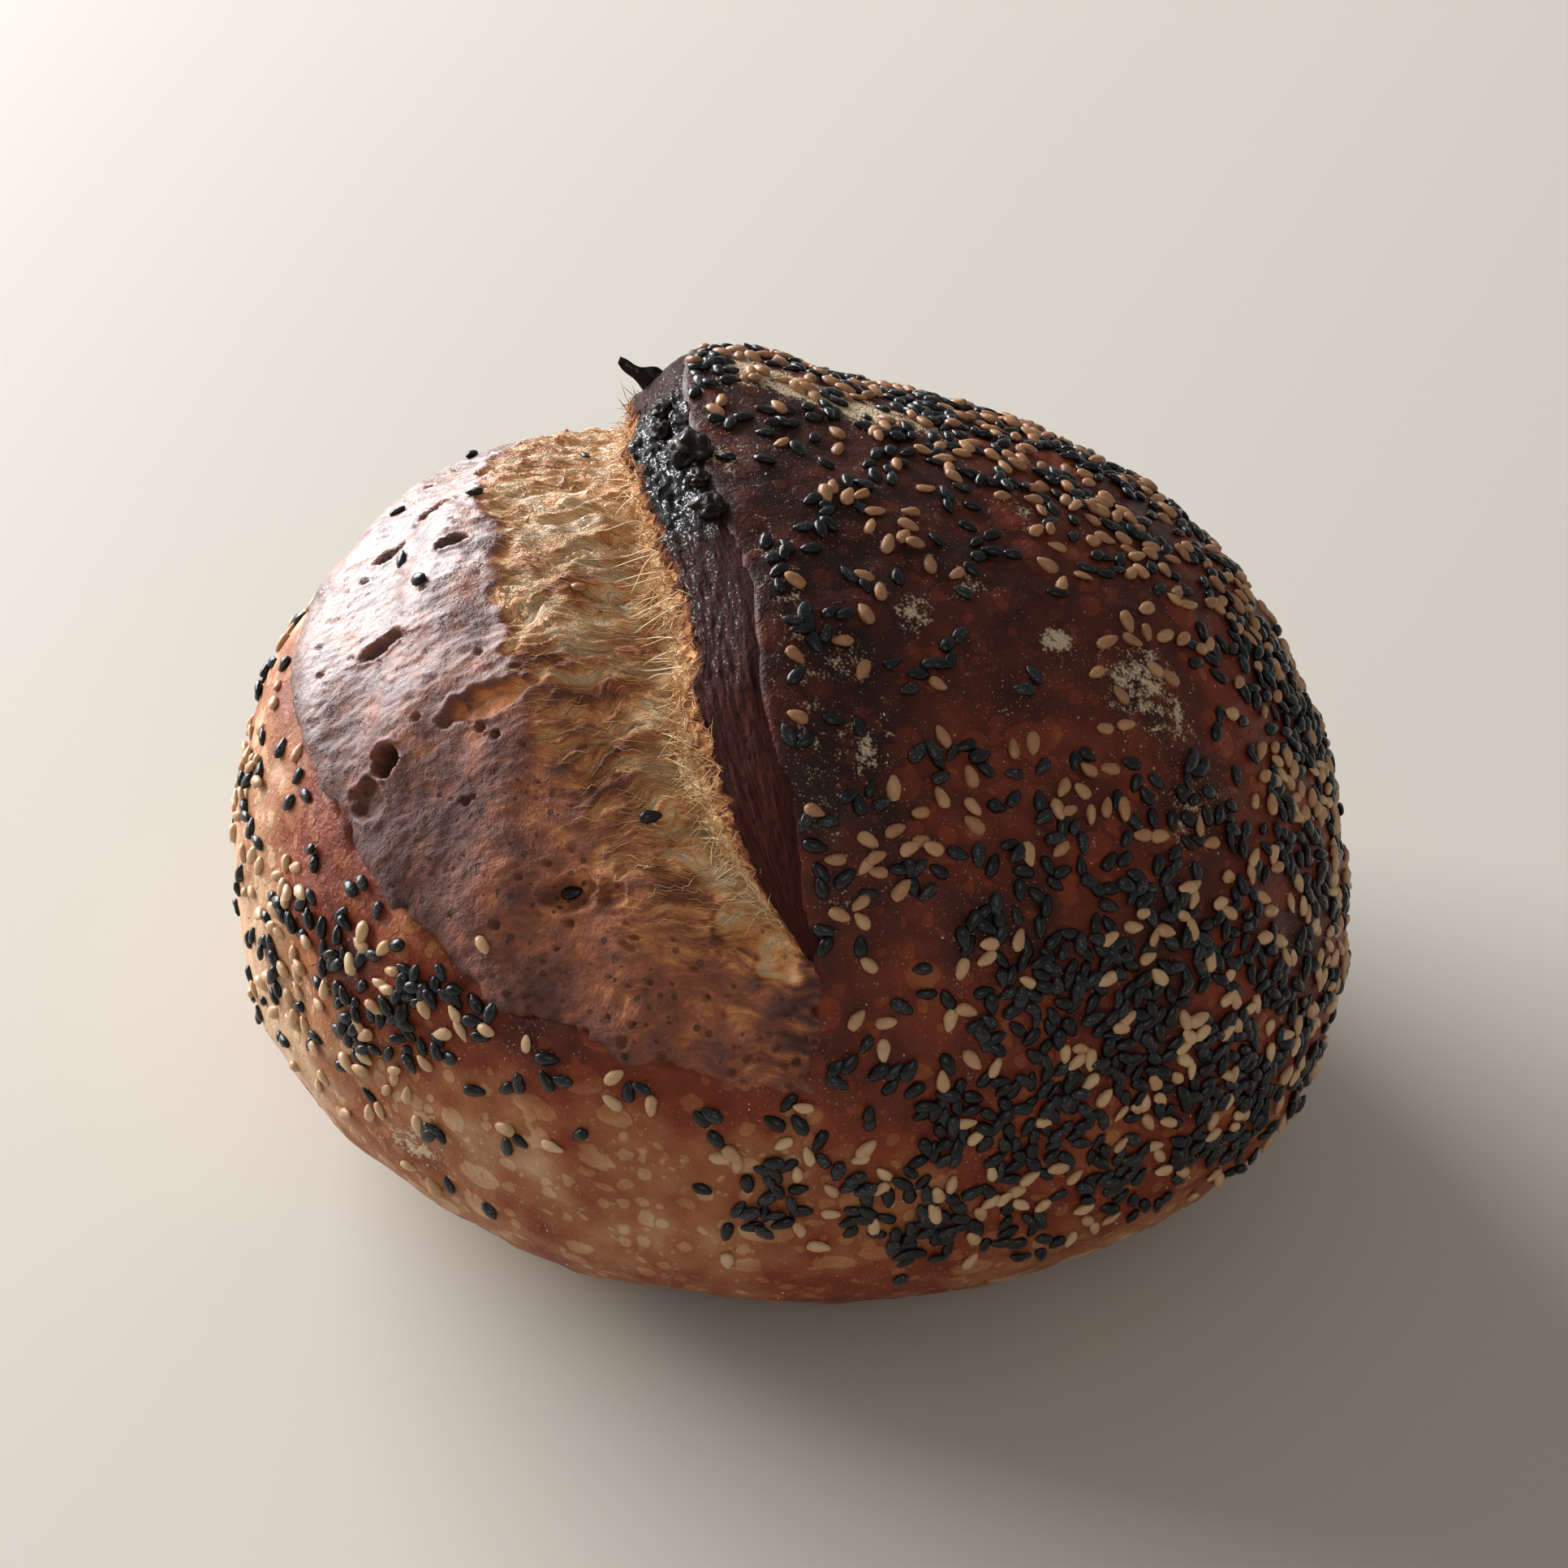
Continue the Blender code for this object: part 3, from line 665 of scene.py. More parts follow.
# Painted light: the golden zone is paler at its top, where the window light falls on it.
toast -= 0.2 * smooth_step(bloom_on, -24, 2) * smooth_step(from_line, 6, 16) * (1 - lobe)
toast += ((0.22 * waves(bloom_uv * (0.35, 1, 1), 3.2, 48) + 0.16 * thin_fibre) * (1 - lobe)
          * smooth_step(from_line, 3, 12))
toast -= (0.16 * smooth_step(-bloom_on, 38, 56) * (1 - 0.5 * lobe)
          - 0.06 * (1 - lobe) * smooth_step(from_line, -2, 6))
toast += 0.3 * smooth_step(-bloom_on + 0.6 * ragged, 57, 63) * (1 - smooth_step(from_line, 4, 16))
# Painted light: the golden zone's middle is paler, standing in for the window light that reaches it.
toast -= 0.1 * (1 - lobe) * smooth_step(from_line, 5, 12) * smooth_step(bloom_on, -38, -16)
toast += 0.17 * lobe * smooth_step(-bloom_meridian, 30, 44) * smooth_step(-bloom_on, 20, 40)
toast += (0.12 * (1 - smooth_step(rim, 0, 9)) + 0.09 * waves(bloom_uv, 6, 43)
          + 0.06 * waves(bloom_uv, 2.2, 45) - 0.35 * pale_and_shade)

bloom_top = on_loaf(bloom_meridian, bloom_on, bloom_height).reshape(BLOOM_ROWS, BLOOM_COLUMNS, 3)
under_share = np.linspace(1, 0, BLOOM_UNDER + 2)[1:-1]
under_meridian = right_limit[:, None] + (left_limit - right_limit)[:, None] * under_share
under_on = np.repeat(bloom_place[:, None], BLOOM_UNDER, 1)
under_depth = -4 - 4.5 * np.sin(math.pi * under_share) * np.ones_like(under_on)
bloom_under = on_loaf(under_meridian.ravel(), under_on.ravel(), under_depth.ravel())
bloom_under = bloom_under.reshape(BLOOM_ROWS, BLOOM_UNDER, 3)
bloom_mesh = closed_tube("bloom", np.concatenate([bloom_top, bloom_under], 1))


def with_underside(values):
    """Values for each point of the bloom's mesh from those of its top, with zero underneath."""
    top = values.reshape(BLOOM_ROWS, BLOOM_COLUMNS, -1)
    loops = np.concatenate([top, np.zeros((BLOOM_ROWS, BLOOM_UNDER, top.shape[2]))], 1)
    flat = loops.reshape(-1, top.shape[2])
    return np.concatenate([flat, flat[:2]]).reshape(-1, *values.shape[1:])


mark(bloom_mesh, "toast", with_underside(np.clip(toast, 0, 1)))
mark(bloom_mesh, "lobe", with_underside(np.maximum(lobe, 0.8 * front_end)))
mark(bloom_mesh, "hollow", with_underside(hollow))
upper = (1 - lobe) * smooth_step(bloom_on, -34, -6) * smooth_step(from_line, 3, 10)
mark(bloom_mesh, "sheen", with_underside(0.85 * lobe * smooth_step(bloom_on, -38, -8) + upper))
mark(bloom_mesh, "along", with_underside(fibre_uv))

CREAM, STRAW, AMBER = (0.85, 0.63, 0.40), (0.81, 0.46, 0.205), (0.66, 0.26, 0.088)
CRUMB_BROWN, MAUVE, DARK_MAUVE = (0.33, 0.100, 0.042), (0.165, 0.052, 0.034), (0.08, 0.025, 0.018)
PORE_SHADE, PIT_SHADE = (0.07, 0.025, 0.014), (0.06, 0.020, 0.012)

bloom_finish = Finish("torn_crumb", {"Coat Roughness": 0.34, "Specular IOR Level": 0.5})
along = bloom_finish.read("along", "Vector")
at = bloom_finish.spot()
threads = bloom_finish.noise(bloom_finish.stretched(along, (0.16, 2.4, 1)), 1.0, 4, 0.65)
bent = bloom_finish.bent(along, 0.16, 2.0, (0, 6, 0))
long_hair = bloom_finish.noise(bloom_finish.stretched(along, (0.09, 1.15, 1)), 1.0, 2) - 0.5
cross_hair = bloom_finish.noise(bloom_finish.stretched(bent, (0.14, 1.9, 1)), 1.0, 2) - 0.5
hairs = 1 - bloom_finish.rise(abs(long_hair), 0.0, 0.045)
hairs = hairs + (1 - bloom_finish.rise(abs(cross_hair), 0.0, 0.04)) * 0.8
grain = bloom_finish.noise(at, 1300, 3, 0.65)
patch = bloom_finish.noise(at, 160, 3, 0.55)
pit, pit_size = bloom_finish.cells(at, 620.0, "Red")
pits = bloom_finish.rise(pit_size * 0.42 - pit - 0.06, 0.0, 0.1)
skin_share = bloom_finish.read("lobe")
open_share = 1 - skin_share * 0.85
toasted_and_lit = bloom_finish.read("toast") + (threads - 0.5) * 0.6 * open_share + (patch - 0.5) * 0.26
toasted_and_lit = toasted_and_lit + (grain - 0.5) * 0.3 + (0.1 - hairs * 0.22) * open_share
bloom_colour = bloom_finish.ramp(toasted_and_lit, ((0.0, CREAM), (0.2, STRAW), (0.42, AMBER), (0.62, CRUMB_BROWN),
                                           (0.82, MAUVE), (1.0, DARK_MAUVE)))
# Painted shade: hollows in the darker crumb are darkened towards the colour of their shade.
hollow_shade = bloom_finish.read("hollow") * bloom_finish.rise(bloom_finish.read("toast"), 0.45, 0.8) * 0.6
bloom_colour = bloom_finish.mix(hollow_shade, bloom_colour, PORE_SHADE)
# Painted shade: the lobe's fine pits are darkened.
bloom_colour = bloom_finish.mix(pits * skin_share * 0.75, bloom_colour, PIT_SHADE)
bloom_rough = 0.74 - bloom_finish.read("sheen") * 0.34 + (grain - 0.5) * 0.3
bloom_relief = threads * 0.6 * open_share + hairs * 0.25 * open_share + grain * 0.55 - pits * skin_share * 0.3
bloom_finish.finished(bloom_colour, bloom_rough, bloom_relief,
                      bloom_finish.read("sheen") * skin_share * 0.5 + 0.02)

bloom = added("bloom", bloom_mesh)
bloom_mesh.materials.append(bloom_finish.material)
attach(bloom, "root")

# The sesame: hulled cream seeds that toasted on top, and black ones, pressed on while the dough was wet.
# They stick flat to the crust, thickest where the wet dough was rolled in them, and none is on the ear's
# strip, which was bare dough until the score opened.
SEED_LENGTH, SEED_WIDTH, SEED_THICKNESS, SEED_TAPER = 3.25 * MM, 1.88 * MM, 1.15 * MM, 0.5
SEED_LOWEST = 14
SEED_SPACE = 1.45 * MM
SEED_LIFT = 0.42 * MM  # the most that a crowded seed is raised; close neighbours still cut into each other
BLACK_RISE, PALE_RISE = 0.28, 0.25  # mm from the crust up to the middle of a seed
STRAY_START = 0.02  # how far over the loaf the search for the bloom under a stray starts, in metres
SEED_TRIES = 44  # of each kind for a square centimetre

# Seeds for each square centimetre: (meridian, place, spread in degrees, black seeds, pale seeds).
SEEDED = ((-68, -43, 6, 12, 3.0), (-62, -50, 5, 8, 3.0), (-76, -46, 6, 10, 3.0), (58, -56, 13, 17, 5.0),
          (62, -70, 10, 18, 4.0), (70, -42, 13, 16, 6.0), (90, -48, 15, 13, 6.0), (56, -34, 10, 7.0, 4.6),
          (66, -20, 12, 7.5, 5.0), (60, -4, 13, 5.5, 4.2), (92, -15, 20, 5.5, 5.0), (44, 14, 12, 5.0, 4.6),
          (22, 18, 12, 9.0, 9.0), (4, 21, 10, 12, 8.0), (30, 34, 18, 8.0, 8.0), (70, 30, 24, 4.4, 4.4),
          (10, 52, 20, 4.2, 4.2), (110, 15, 26, 3.4, 3.4), (36, -46, 7, 2.4, 2.6), (-66, -45, 8, 9.5, 4.6),
          (-74, -36, 8, 5.0, 4.2), (-60, -55, 6, 6.0, 2.6), (-80, -50, 8, 5.0, 3.0), (-82, -30, 9, 2.6, 3.4),
          (-70, -12, 9, 0.7, 2.0), (-66, 12, 12, 1.6, 1.8), (-90, 25, 26, 2.6, 2.8), (-20, -78, 9, 1.6, 0.9),
          (40, -83, 7, 5.0, 1.0), (-60, 66, 24, 2.6, 2.6), (5, -8, 9, 1.6, 1.0), (-1, -22, 3.4, 16, 3),
          (-0.5, -29, 4, 11, 4), (-2, -39, 3, 6, 4), (18, -11, 4, 7, 2), (6, -8, 4, 5, 4),
          (20, -36, 3.4, 14, 2), (13, -27, 2.6, 8, 3), (42, -31, 6, 7, 5), (32, -39, 5, 4, 5),
          (8, -48, 6, 6, 5), (22, -49, 5, 2, 5), (-7, 11, 6, 18, 12), (8, 14, 8, 10, 7), (15, 4, 6, 10, 8),
          (7, -1, 4, 6, 4), (27, 1, 8, 8, 7), (33, -6, 6, 6, 6), (42, -4, 7, 7, 7), (52, -2, 6, 9, 6),
          (38, -49, 6, 8, 5), (40, -57, 7, 14, 6), (52, -47, 8, 14, 6), (60, -14, 7, 8, 5),
          (85, -34, 10, 12, 4), (75, -50, 9, 16, 4), (69, -71, 8, 18, 4), (83, -60, 9, 18, 4),
          (95, -46, 10, 14, 3), (14, -83, 4, 8, 1), (100, -71, 6, 8, 1))
SEED_BACKGROUND = (0.6, 0.75)

# Single seeds that fell on the bloom: black, then pale, as (meridian, place).
BLACK_STRAYS = ((-11, -35), (-9.5, -38.5), (-9, -40.5), (-18, -43.5), (-33, 2), (-41, -4), (-38, -10),
                (-32, -49), (-24, 12), (-44, 8), (-40, 22), (-20, 34))
PALE_STRAYS = ((-22, -16), (-47, -50), (-30, 26))


class CrustPlaces:
    """The crust's triangles by area, to scatter things over."""

    def __init__(self, mesh, points, meridian, place, allowed):
        mesh.calc_loop_triangles()
        corners = np.empty(len(mesh.loop_triangles) * 3, int)
        mesh.loop_triangles.foreach_get("vertices", corners)
        self.corners = corners.reshape(-1, 3)
        self.corners = self.corners[allowed[self.corners].all(1)]
        a, b, c = (points[self.corners[:, i]] for i in range(3))
        area = np.linalg.norm(np.cross(b - a, c - a), axis=1) / 2
        self.share = np.cumsum(area) / area.sum()
        self.square_cm = area.sum() * 1e4
        normals = np.empty(len(mesh.vertices) * 3)
        mesh.vertices.foreach_get("normal", normals)
        self.values = np.concatenate([points, normals.reshape(-1, 3), meridian[:, None], place[:, None]], 1)

    def scatter(self, count, seed):
        """Random rows of point, normal, meridian and place, even over the area."""
        chance = np.random.default_rng(seed)
        rows = self.corners[np.searchsorted(self.share, chance.random(count))]
        u, v = np.sqrt(chance.random(count)), chance.random(count)
        weights = np.stack([1 - u, u * (1 - v), u * v], 1)
        return (self.values[rows] * weights[..., None]).sum(1)


def kept_apart(rows, chances, taken, space, seed):
    """Rows that pass their chance and lie apart from those taken, which they then join."""
    draw = np.random.default_rng(seed).random(len(rows))
    kept = []
    cells = {}
    for point in taken:
        cells.setdefault(tuple((point / space / 2).astype(int)), []).append(point)
    for row in rows[draw < chances]:
        point = row[:3]
        cell = (point / space / 2).astype(int)
        close = [q for dx in (-1, 0, 1) for dy in (-1, 0, 1) for dz in (-1, 0, 1)
                 for q in cells.get((cell[0] + dx, cell[1] + dy, cell[2] + dz), ())]
        gap = min((np.linalg.norm(point - q) for q in close), default=1)
        if gap > space:
            row[:3] += row[3:6] * SEED_LIFT * float(1 - smooth_step(gap / MM, 1.9, 2.7))
            kept.append(row)
            taken.append(point)
            cells.setdefault(tuple(cell), []).append(point)
    return np.array(kept)


def points_mesh(name, rows, values):
    """A mesh of loose points with their normals kept as up, and further values by name."""
    mesh = bpy.data.meshes.new(name)
    mesh.from_pydata(rows[:, :3].tolist(), [], [])
    mark(mesh, "up", rows[:, 3:6])
    for key, numbers in values.items():
        mark(mesh, key, numbers)
    return mesh


class Tree:
    """A Geometry Nodes tree with named inputs."""

    def __init__(self, name, **inputs):
        self.group = bpy.data.node_groups.new(name, "GeometryNodeTree")
        self.group.interface.new_socket("Geometry", in_out="INPUT", socket_type="NodeSocketGeometry")
        self.group.interface.new_socket("Geometry", in_out="OUTPUT", socket_type="NodeSocketGeometry")
        for name in inputs:
            self.group.interface.new_socket(name, in_out="INPUT", socket_type="NodeSocketFloat")
        self.inputs = inputs
        self.given = self.group.nodes.new("NodeGroupInput").outputs

    def node(self, kind, settings, sockets, output=0):
        """Adds a node: its settings first, then its sockets' values or links."""
        node = self.group.nodes.new(kind)
        for name, value in settings.items():
            setattr(node, name, value)
        for name, value in sockets.items():
            if isinstance(value, bpy.types.NodeSocket):
                self.group.links.new(value, node.inputs[name])
            else:
                node.inputs[name].default_value = value
        return node.outputs[output]

    def maths(self, operation, first, second):
        return self.node("ShaderNodeMath", {"operation": operation}, {0: first, 1: second})

    def read(self, name, kind="FLOAT"):
        return self.node("GeometryNodeInputNamedAttribute", {"data_type": kind}, {"Name": name})

    def random(self, low, high, seed):
        """A random number or vector for each point, between low and high."""
        kind, first, output = ("FLOAT_VECTOR", 0, 0) if isinstance(low, tuple) else ("FLOAT", 2, 1)
        sockets = {first: low, first + 1: high, "Seed": seed}
        return self.node("FunctionNodeRandomValue", {"data_type": kind}, sockets, output)

    def piece(self, name, mesh, result, material):
        """Runs the tree on a mesh and returns the plain result as an object."""
        made = self.node("GeometryNodeRealizeInstances", {}, {"Geometry": result})
        made = self.node("GeometryNodeSetMaterial", {}, {"Geometry": made, "Material": material})
        self.group.links.new(made, self.group.nodes.new("NodeGroupOutput").inputs[0])
        thing = added(name, mesh)
        modifier = thing.modifiers.new(name, "NODES")
        modifier.node_group = self.group
        for item in self.group.interface.items_tree:
            if item.in_out == "INPUT" and item.name in self.inputs:
                modifier[item.identifier] = self.inputs[item.name]
        bpy.context.view_layer.update()
        plain = bpy.data.meshes.new_from_object(thing.evaluated_get(bpy.context.evaluated_depsgraph_get()))
        thing.modifiers.remove(modifier)
        thing.data = plain
        plain.name = name
        return thing


def sesame_piece(name, mesh, material, seed):
    """Seeds on a mesh of points: a flat sphere with one narrow end, turned at random on the crust."""
    tree = Tree(name, Length=SEED_LENGTH, Width=SEED_WIDTH, Thickness=SEED_THICKNESS, Taper=SEED_TAPER)
    ball = tree.node("GeometryNodeMeshUVSphere", {}, {"Segments": 8, "Rings": 6, "Radius": 0.5})
    where = tree.node("GeometryNodeInputPosition", {}, {})
    parts = tree.group.nodes.new("ShaderNodeSeparateXYZ")
    tree.group.links.new(where, parts.inputs[0])
    narrow = tree.maths("SUBTRACT", 1.0, tree.maths("MULTIPLY", parts.outputs[2], tree.given["Taper"]))
    shaped = tree.node("ShaderNodeCombineXYZ", {}, {
        0: tree.maths("MULTIPLY", parts.outputs[2], tree.given["Length"]),
        1: tree.maths("MULTIPLY", tree.maths("MULTIPLY", parts.outputs[1], narrow), tree.given["Width"]),
        2: tree.maths("MULTIPLY", tree.maths("MULTIPLY", parts.outputs[0], narrow), tree.given["Thickness"]),
    })
    body = tree.node("GeometryNodeSetPosition", {}, {"Geometry": ball, "Position": shaped})
    body = tree.node("GeometryNodeSetShadeSmooth", {}, {0: body})
    spin = tree.random(0.0, 6.283, seed)
    tilt = tree.random(-0.3, 0.3, seed + 1)
    size = tree.random(0.86, 1.12, seed + 2)
    plump = tree.random(0.8, 1.25, seed + 3)
    lying = tree.node("FunctionNodeAlignRotationToVector", {"axis": "Z"},
                      {"Vector": tree.read("up", "FLOAT_VECTOR")})
    own = tree.node("ShaderNodeCombineXYZ", {}, {0: tilt, 1: tree.maths("MULTIPLY", tilt, 0.6), 2: spin})
    turned = tree.node("FunctionNodeEulerToRotation", {}, {0: own})
    lying = tree.node("FunctionNodeRotateRotation", {"rotation_space": "LOCAL"}, {0: lying, 1: turned})
    scale = tree.node("ShaderNodeCombineXYZ", {}, {0: size, 1: size, 2: tree.maths("MULTIPLY", size, plump)})
    seeds = tree.node("GeometryNodeInstanceOnPoints", {}, {"Points": tree.given["Geometry"], "Instance": body,
                                                          "Rotation": lying, "Scale": scale})
    seeds = tree.node("GeometryNodeRealizeInstances", {}, {"Geometry": seeds})
    rough = tree.node("ShaderNodeTexNoise", {}, {"Scale": 900.0, "Detail": 1.0}, 1)
    rough = tree.node("ShaderNodeVectorMath", {"operation": "SUBTRACT"}, {0: rough, 1: (0.5, 0.5, 0.5)})
    rough = tree.node("ShaderNodeVectorMath", {"operation": "SCALE"}, {0: rough, "Scale": 0.45 * MM})
    seeds = tree.node("GeometryNodeSetPosition", {}, {"Geometry": seeds, "Offset": rough})
    made = tree.piece(name, mesh, seeds, material)
    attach(made, "root")
    return made


bare_crust = ((beside_line > ridge + 0.3) | (inset < -1)) & (crust_points[:, 2] > SEED_LOWEST * MM)
open_crust = CrustPlaces(crust_mesh, crust_points, crust_meridian, crust_place, bare_crust)
tries = open_crust.scatter(int(open_crust.square_cm * 2 * SEED_TRIES), 51)
black_wanted, pale_wanted = (np.full(len(tries), amount) for amount in SEED_BACKGROUND)
for seed_meridian, seed_place, spread, black_count, pale_count in SEEDED:
    away = (tries[:, 6] - seed_meridian) * math.cos(math.radians(seed_place))
    share = np.exp(-(away ** 2 + (tries[:, 7] - seed_place) ** 2) / spread ** 2)
    black_wanted += black_count * share
    pale_wanted += pale_count * share
low_fade = smooth_step(tries[:, 2] / MM, 16, 38)
low_fade *= 1 - 0.8 * flour_at(tries[:, 6], tries[:, 7])
black_clumps = np.clip(1 + 1.9 * waves(tries[:, :3] / MM, 7, 52), 0.06, 3)
pale_clumps = np.clip(1 + 1.2 * waves(tries[:, :3] / MM, 6, 53), 0.2, 2.2)
taken = []
half = len(tries) // 2
black_rows = kept_apart(tries[:half], (black_wanted * black_clumps * low_fade / SEED_TRIES)[:half], taken,
                        SEED_SPACE, 54)
pale_rows = kept_apart(tries[half:], (pale_wanted * pale_clumps * low_fade / SEED_TRIES)[half:], taken,
                       SEED_SPACE, 55)

bloom_surface = BVHTree.FromPolygons([v.co for v in bloom_mesh.vertices],
                                     [p.vertices for p in bloom_mesh.polygons])


def strays(places):
    """Rows of point, normal, meridian and place on the bloom."""
    rows = []
    for meridian, place in places:
        out, normal = dome(np.array([meridian]), np.array([place]))
        hit = bloom_surface.ray_cast(Vector(out[0] + normal[0] * STRAY_START), Vector(-normal[0]))
        rows.append([*hit[0], *hit[1], meridian, place])
    return np.array(rows)


black_rows = np.concatenate([black_rows, strays(BLACK_STRAYS)])
pale_rows = np.concatenate([pale_rows, strays(PALE_STRAYS)])
black_rows[:, :3] += black_rows[:, 3:6] * BLACK_RISE * MM
pale_rows[:, :3] += pale_rows[:, 3:6] * PALE_RISE * MM

BLACK_SEED, BLUE_SEED, SALT_AND_GLINT = (0.006, 0.006, 0.007), (0.017, 0.018, 0.022), (0.32, 0.29, 0.25)
RAW_SEED, TOASTED_SEED, BURNT_SEED = (0.64, 0.44, 0.25), (0.44, 0.22, 0.10), (0.22, 0.085, 0.040)

black_finish = Finish("black_sesame", {"Coat Roughness": 0.2, "Coat Weight": 0.5, "Specular IOR Level": 0.1})
at = black_finish.spot()
tone = black_finish.read("tone")
shell = black_finish.noise(at, 1300, 2, 0.6)
# Painted glints: pale specks on some of the black seeds, partly salt and partly painted highlight.
sparkle = black_finish.rise(black_finish.noise(at, 3800, 1), 0.62, 0.7) * black_finish.rise(tone, 0.62, 0.8)
black_colour = black_finish.mix(black_finish.rise(tone + (shell - 0.5) * 0.5, 0.35, 0.9), BLACK_SEED,
                                BLUE_SEED)
black_colour = black_finish.mix(sparkle * 0.6, black_colour, SALT_AND_GLINT)
black_finish.finished(black_colour, 0.36 + (shell - 0.5) * 0.3, shell * 0.22 + sparkle * 0.12)

pale_finish = Finish("pale_sesame", {"Specular IOR Level": 0.45})
at = pale_finish.spot()
tone = pale_finish.read("tone")
shell = pale_finish.noise(at, 900, 2, 0.55)
pale_colour = pale_finish.ramp(tone + (shell - 0.5) * 0.35,
                               ((0.0, RAW_SEED), (0.5, TOASTED_SEED), (1.0, BURNT_SEED)))
pale_finish.finished(pale_colour, 0.4 + (shell - 0.5) * 0.3, shell * 0.14)

black_tone = np.random.default_rng(56).random(len(black_rows))
pale_tone = (0.05 + 0.42 * smooth_step(pale_rows[:, 2] / MM, 50, 108)
             + 0.32 * np.random.default_rng(57).random(len(pale_rows)))
black_sesame = sesame_piece("black_sesame", points_mesh("black_points", black_rows, {"tone": black_tone}),
                            black_finish.material, 60)
pale_sesame = sesame_piece("pale_sesame", points_mesh("pale_points", pale_rows, {"tone": pale_tone}),
                           pale_finish.material, 70)

# The threads: gluten that stretched as the score opened. Fine strands still cross the cleft and lie on the
# bloom, and the torn edge of the ear carries a golden fringe of short broken ones.
THREAD_SIDES = 4
FRINGE_COUNT, BRIDGE_COUNT, LOOSE_COUNT = 2300, 380, 800
FRINGE_FROM, FRINGE_TO = -58, 50


def thread_mesh(name, threads):
    """A mesh of edges from threads, each an array of points with its thickness in mm and its tone."""
    points, edges, thickness, tones = [], [], [], []
    for line, thick, tone in threads:
        start = len(points)
        points += line.tolist()
        edges += [(start + i, start + i + 1) for i in range(len(line) - 1)]
        taper = np.sin(np.linspace(0.35, math.pi - 0.12, len(line))) ** 0.6
        thickness += (thick * taper).tolist()
        tones += [tone] * len(line)
    mesh = bpy.data.meshes.new(name)
    mesh.from_pydata(points, edges, [])
    mark(mesh, "thickness", np.array(thickness))
    mark(mesh, "tone", np.array(tones))
    return mesh


def thread_piece(name, threads, material):
    """Round threads along edges."""
    tree = Tree(name, Thickness=MM / 2)
    line = tree.node("GeometryNodeMeshToCurve", {}, {0: tree.given["Geometry"]})
    thick = tree.maths("MULTIPLY", tree.read("thickness"), tree.given["Thickness"])
    ring = tree.node("GeometryNodeCurvePrimitiveCircle", {}, {"Resolution": THREAD_SIDES, "Radius": 1.0})
    tube = tree.node("GeometryNodeCurveToMesh", {}, {"Curve": line, "Profile Curve": ring, "Scale": thick,
                                                     "Fill Caps": True})
    tube = tree.node("GeometryNodeSetShadeSmooth", {}, {0: tube})
    made = tree.piece(name, thread_mesh(name + "_lines", threads), tube, material)
    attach(made, "root")
    return made


def flap_spot(place, turn):
    """A point on the ear's mesh: its row by the place, its column by how far round the section."""
    row = int(np.clip((place - EAR_ENDS[0]) / (EAR_ENDS[1] - EAR_ENDS[0]) * (EAR_ROWS - 1), 0, EAR_ROWS - 2))
    column = int(turn / flap_turn[-1] * EAR_COLUMNS)
    return ear_loops[row, column]


def bloom_spot(place, share):
    """A point on the bloom's top."""
    row = int(np.clip((place - bloom_place[0]) / (bloom_place[-1] - bloom_place[0]) * (BLOOM_ROWS - 1), 0,
                      BLOOM_ROWS - 2))
    return bloom_top[row, int(np.clip(share, 0, 0.99) * BLOOM_COLUMNS)]


def out_at(meridian, place):
    """Which way is out of the loaf, at one spot."""
    return dome(np.array([float(meridian)]), np.array([float(place)]))[1][0]


chance = random.Random(81)
fringe = []
for _ in range(FRINGE_COUNT):
    place = chance.uniform(FRINGE_FROM, FRINGE_TO)
    if chance.random() > ear_opening(np.array(place)):
        continue
    turn = flap_turn[5] - 1 + (flap_turn[10] - flap_turn[5]) * chance.random() ** 0.8
    root = flap_spot(place, turn)
    line_meridian = float(smooth_line(np.array(place), EAR_LINE))
    up = out_at(line_meridian, place)
    left = -np.array([math.cos(math.radians(line_meridian)), 0, -math.sin(math.radians(line_meridian))])
    ahead = np.cross(up, left)
    heading = left * chance.uniform(0.2, 1) + up * chance.gauss(0.1, 0.45) + ahead * chance.gauss(0, 0.7)
    curl = np.array([chance.gauss(0, 1) for _ in range(3)]) * 0.9
    dark = turn < flap_turn[6] and chance.random() < float(smooth_step(place, -22, -8)
                                                           * smooth_step(-place, -20, -8))
    length = (chance.uniform(0.5, 1.0)
              + (0 if dark else float(smooth_step(-place, -4, 26)) + 1.6 * chance.random() ** 5))
    steps = np.linspace(0, 1, 6)[:, None]
    line = root + MM * length * (heading * steps + curl * steps ** 2 * 0.6)
    fringe.append((line, chance.uniform(0.09, 0.17), chance.uniform(0.1, 0.62) + 0.5 * dark))

bridges = []
for _ in range(BRIDGE_COUNT):
    place = chance.choice((chance.uniform(-56, -14), chance.uniform(-52, -36), chance.uniform(-40, 36)))
    root = flap_spot(place, chance.uniform(flap_turn[6], flap_turn[8]))
    far = bloom_spot(place + chance.gauss(1, 1.8), chance.uniform(0.08, 0.24))
    up = out_at(smooth_line(np.array(place), EAR_LINE), place)
    steps = np.linspace(0, 1, 12)[:, None]
    lift = chance.uniform(-0.2, 0.8) * MM
    wobble = np.array([chance.gauss(0, 0.18) for _ in range(3)]) * MM
    line = (root + (far - root) * steps + up * lift * np.sin(math.pi * steps)
            + wobble * np.sin(2 * math.pi * steps))
    bridges.append((line, chance.uniform(0.09, 0.2), chance.uniform(0.0, 0.4)))

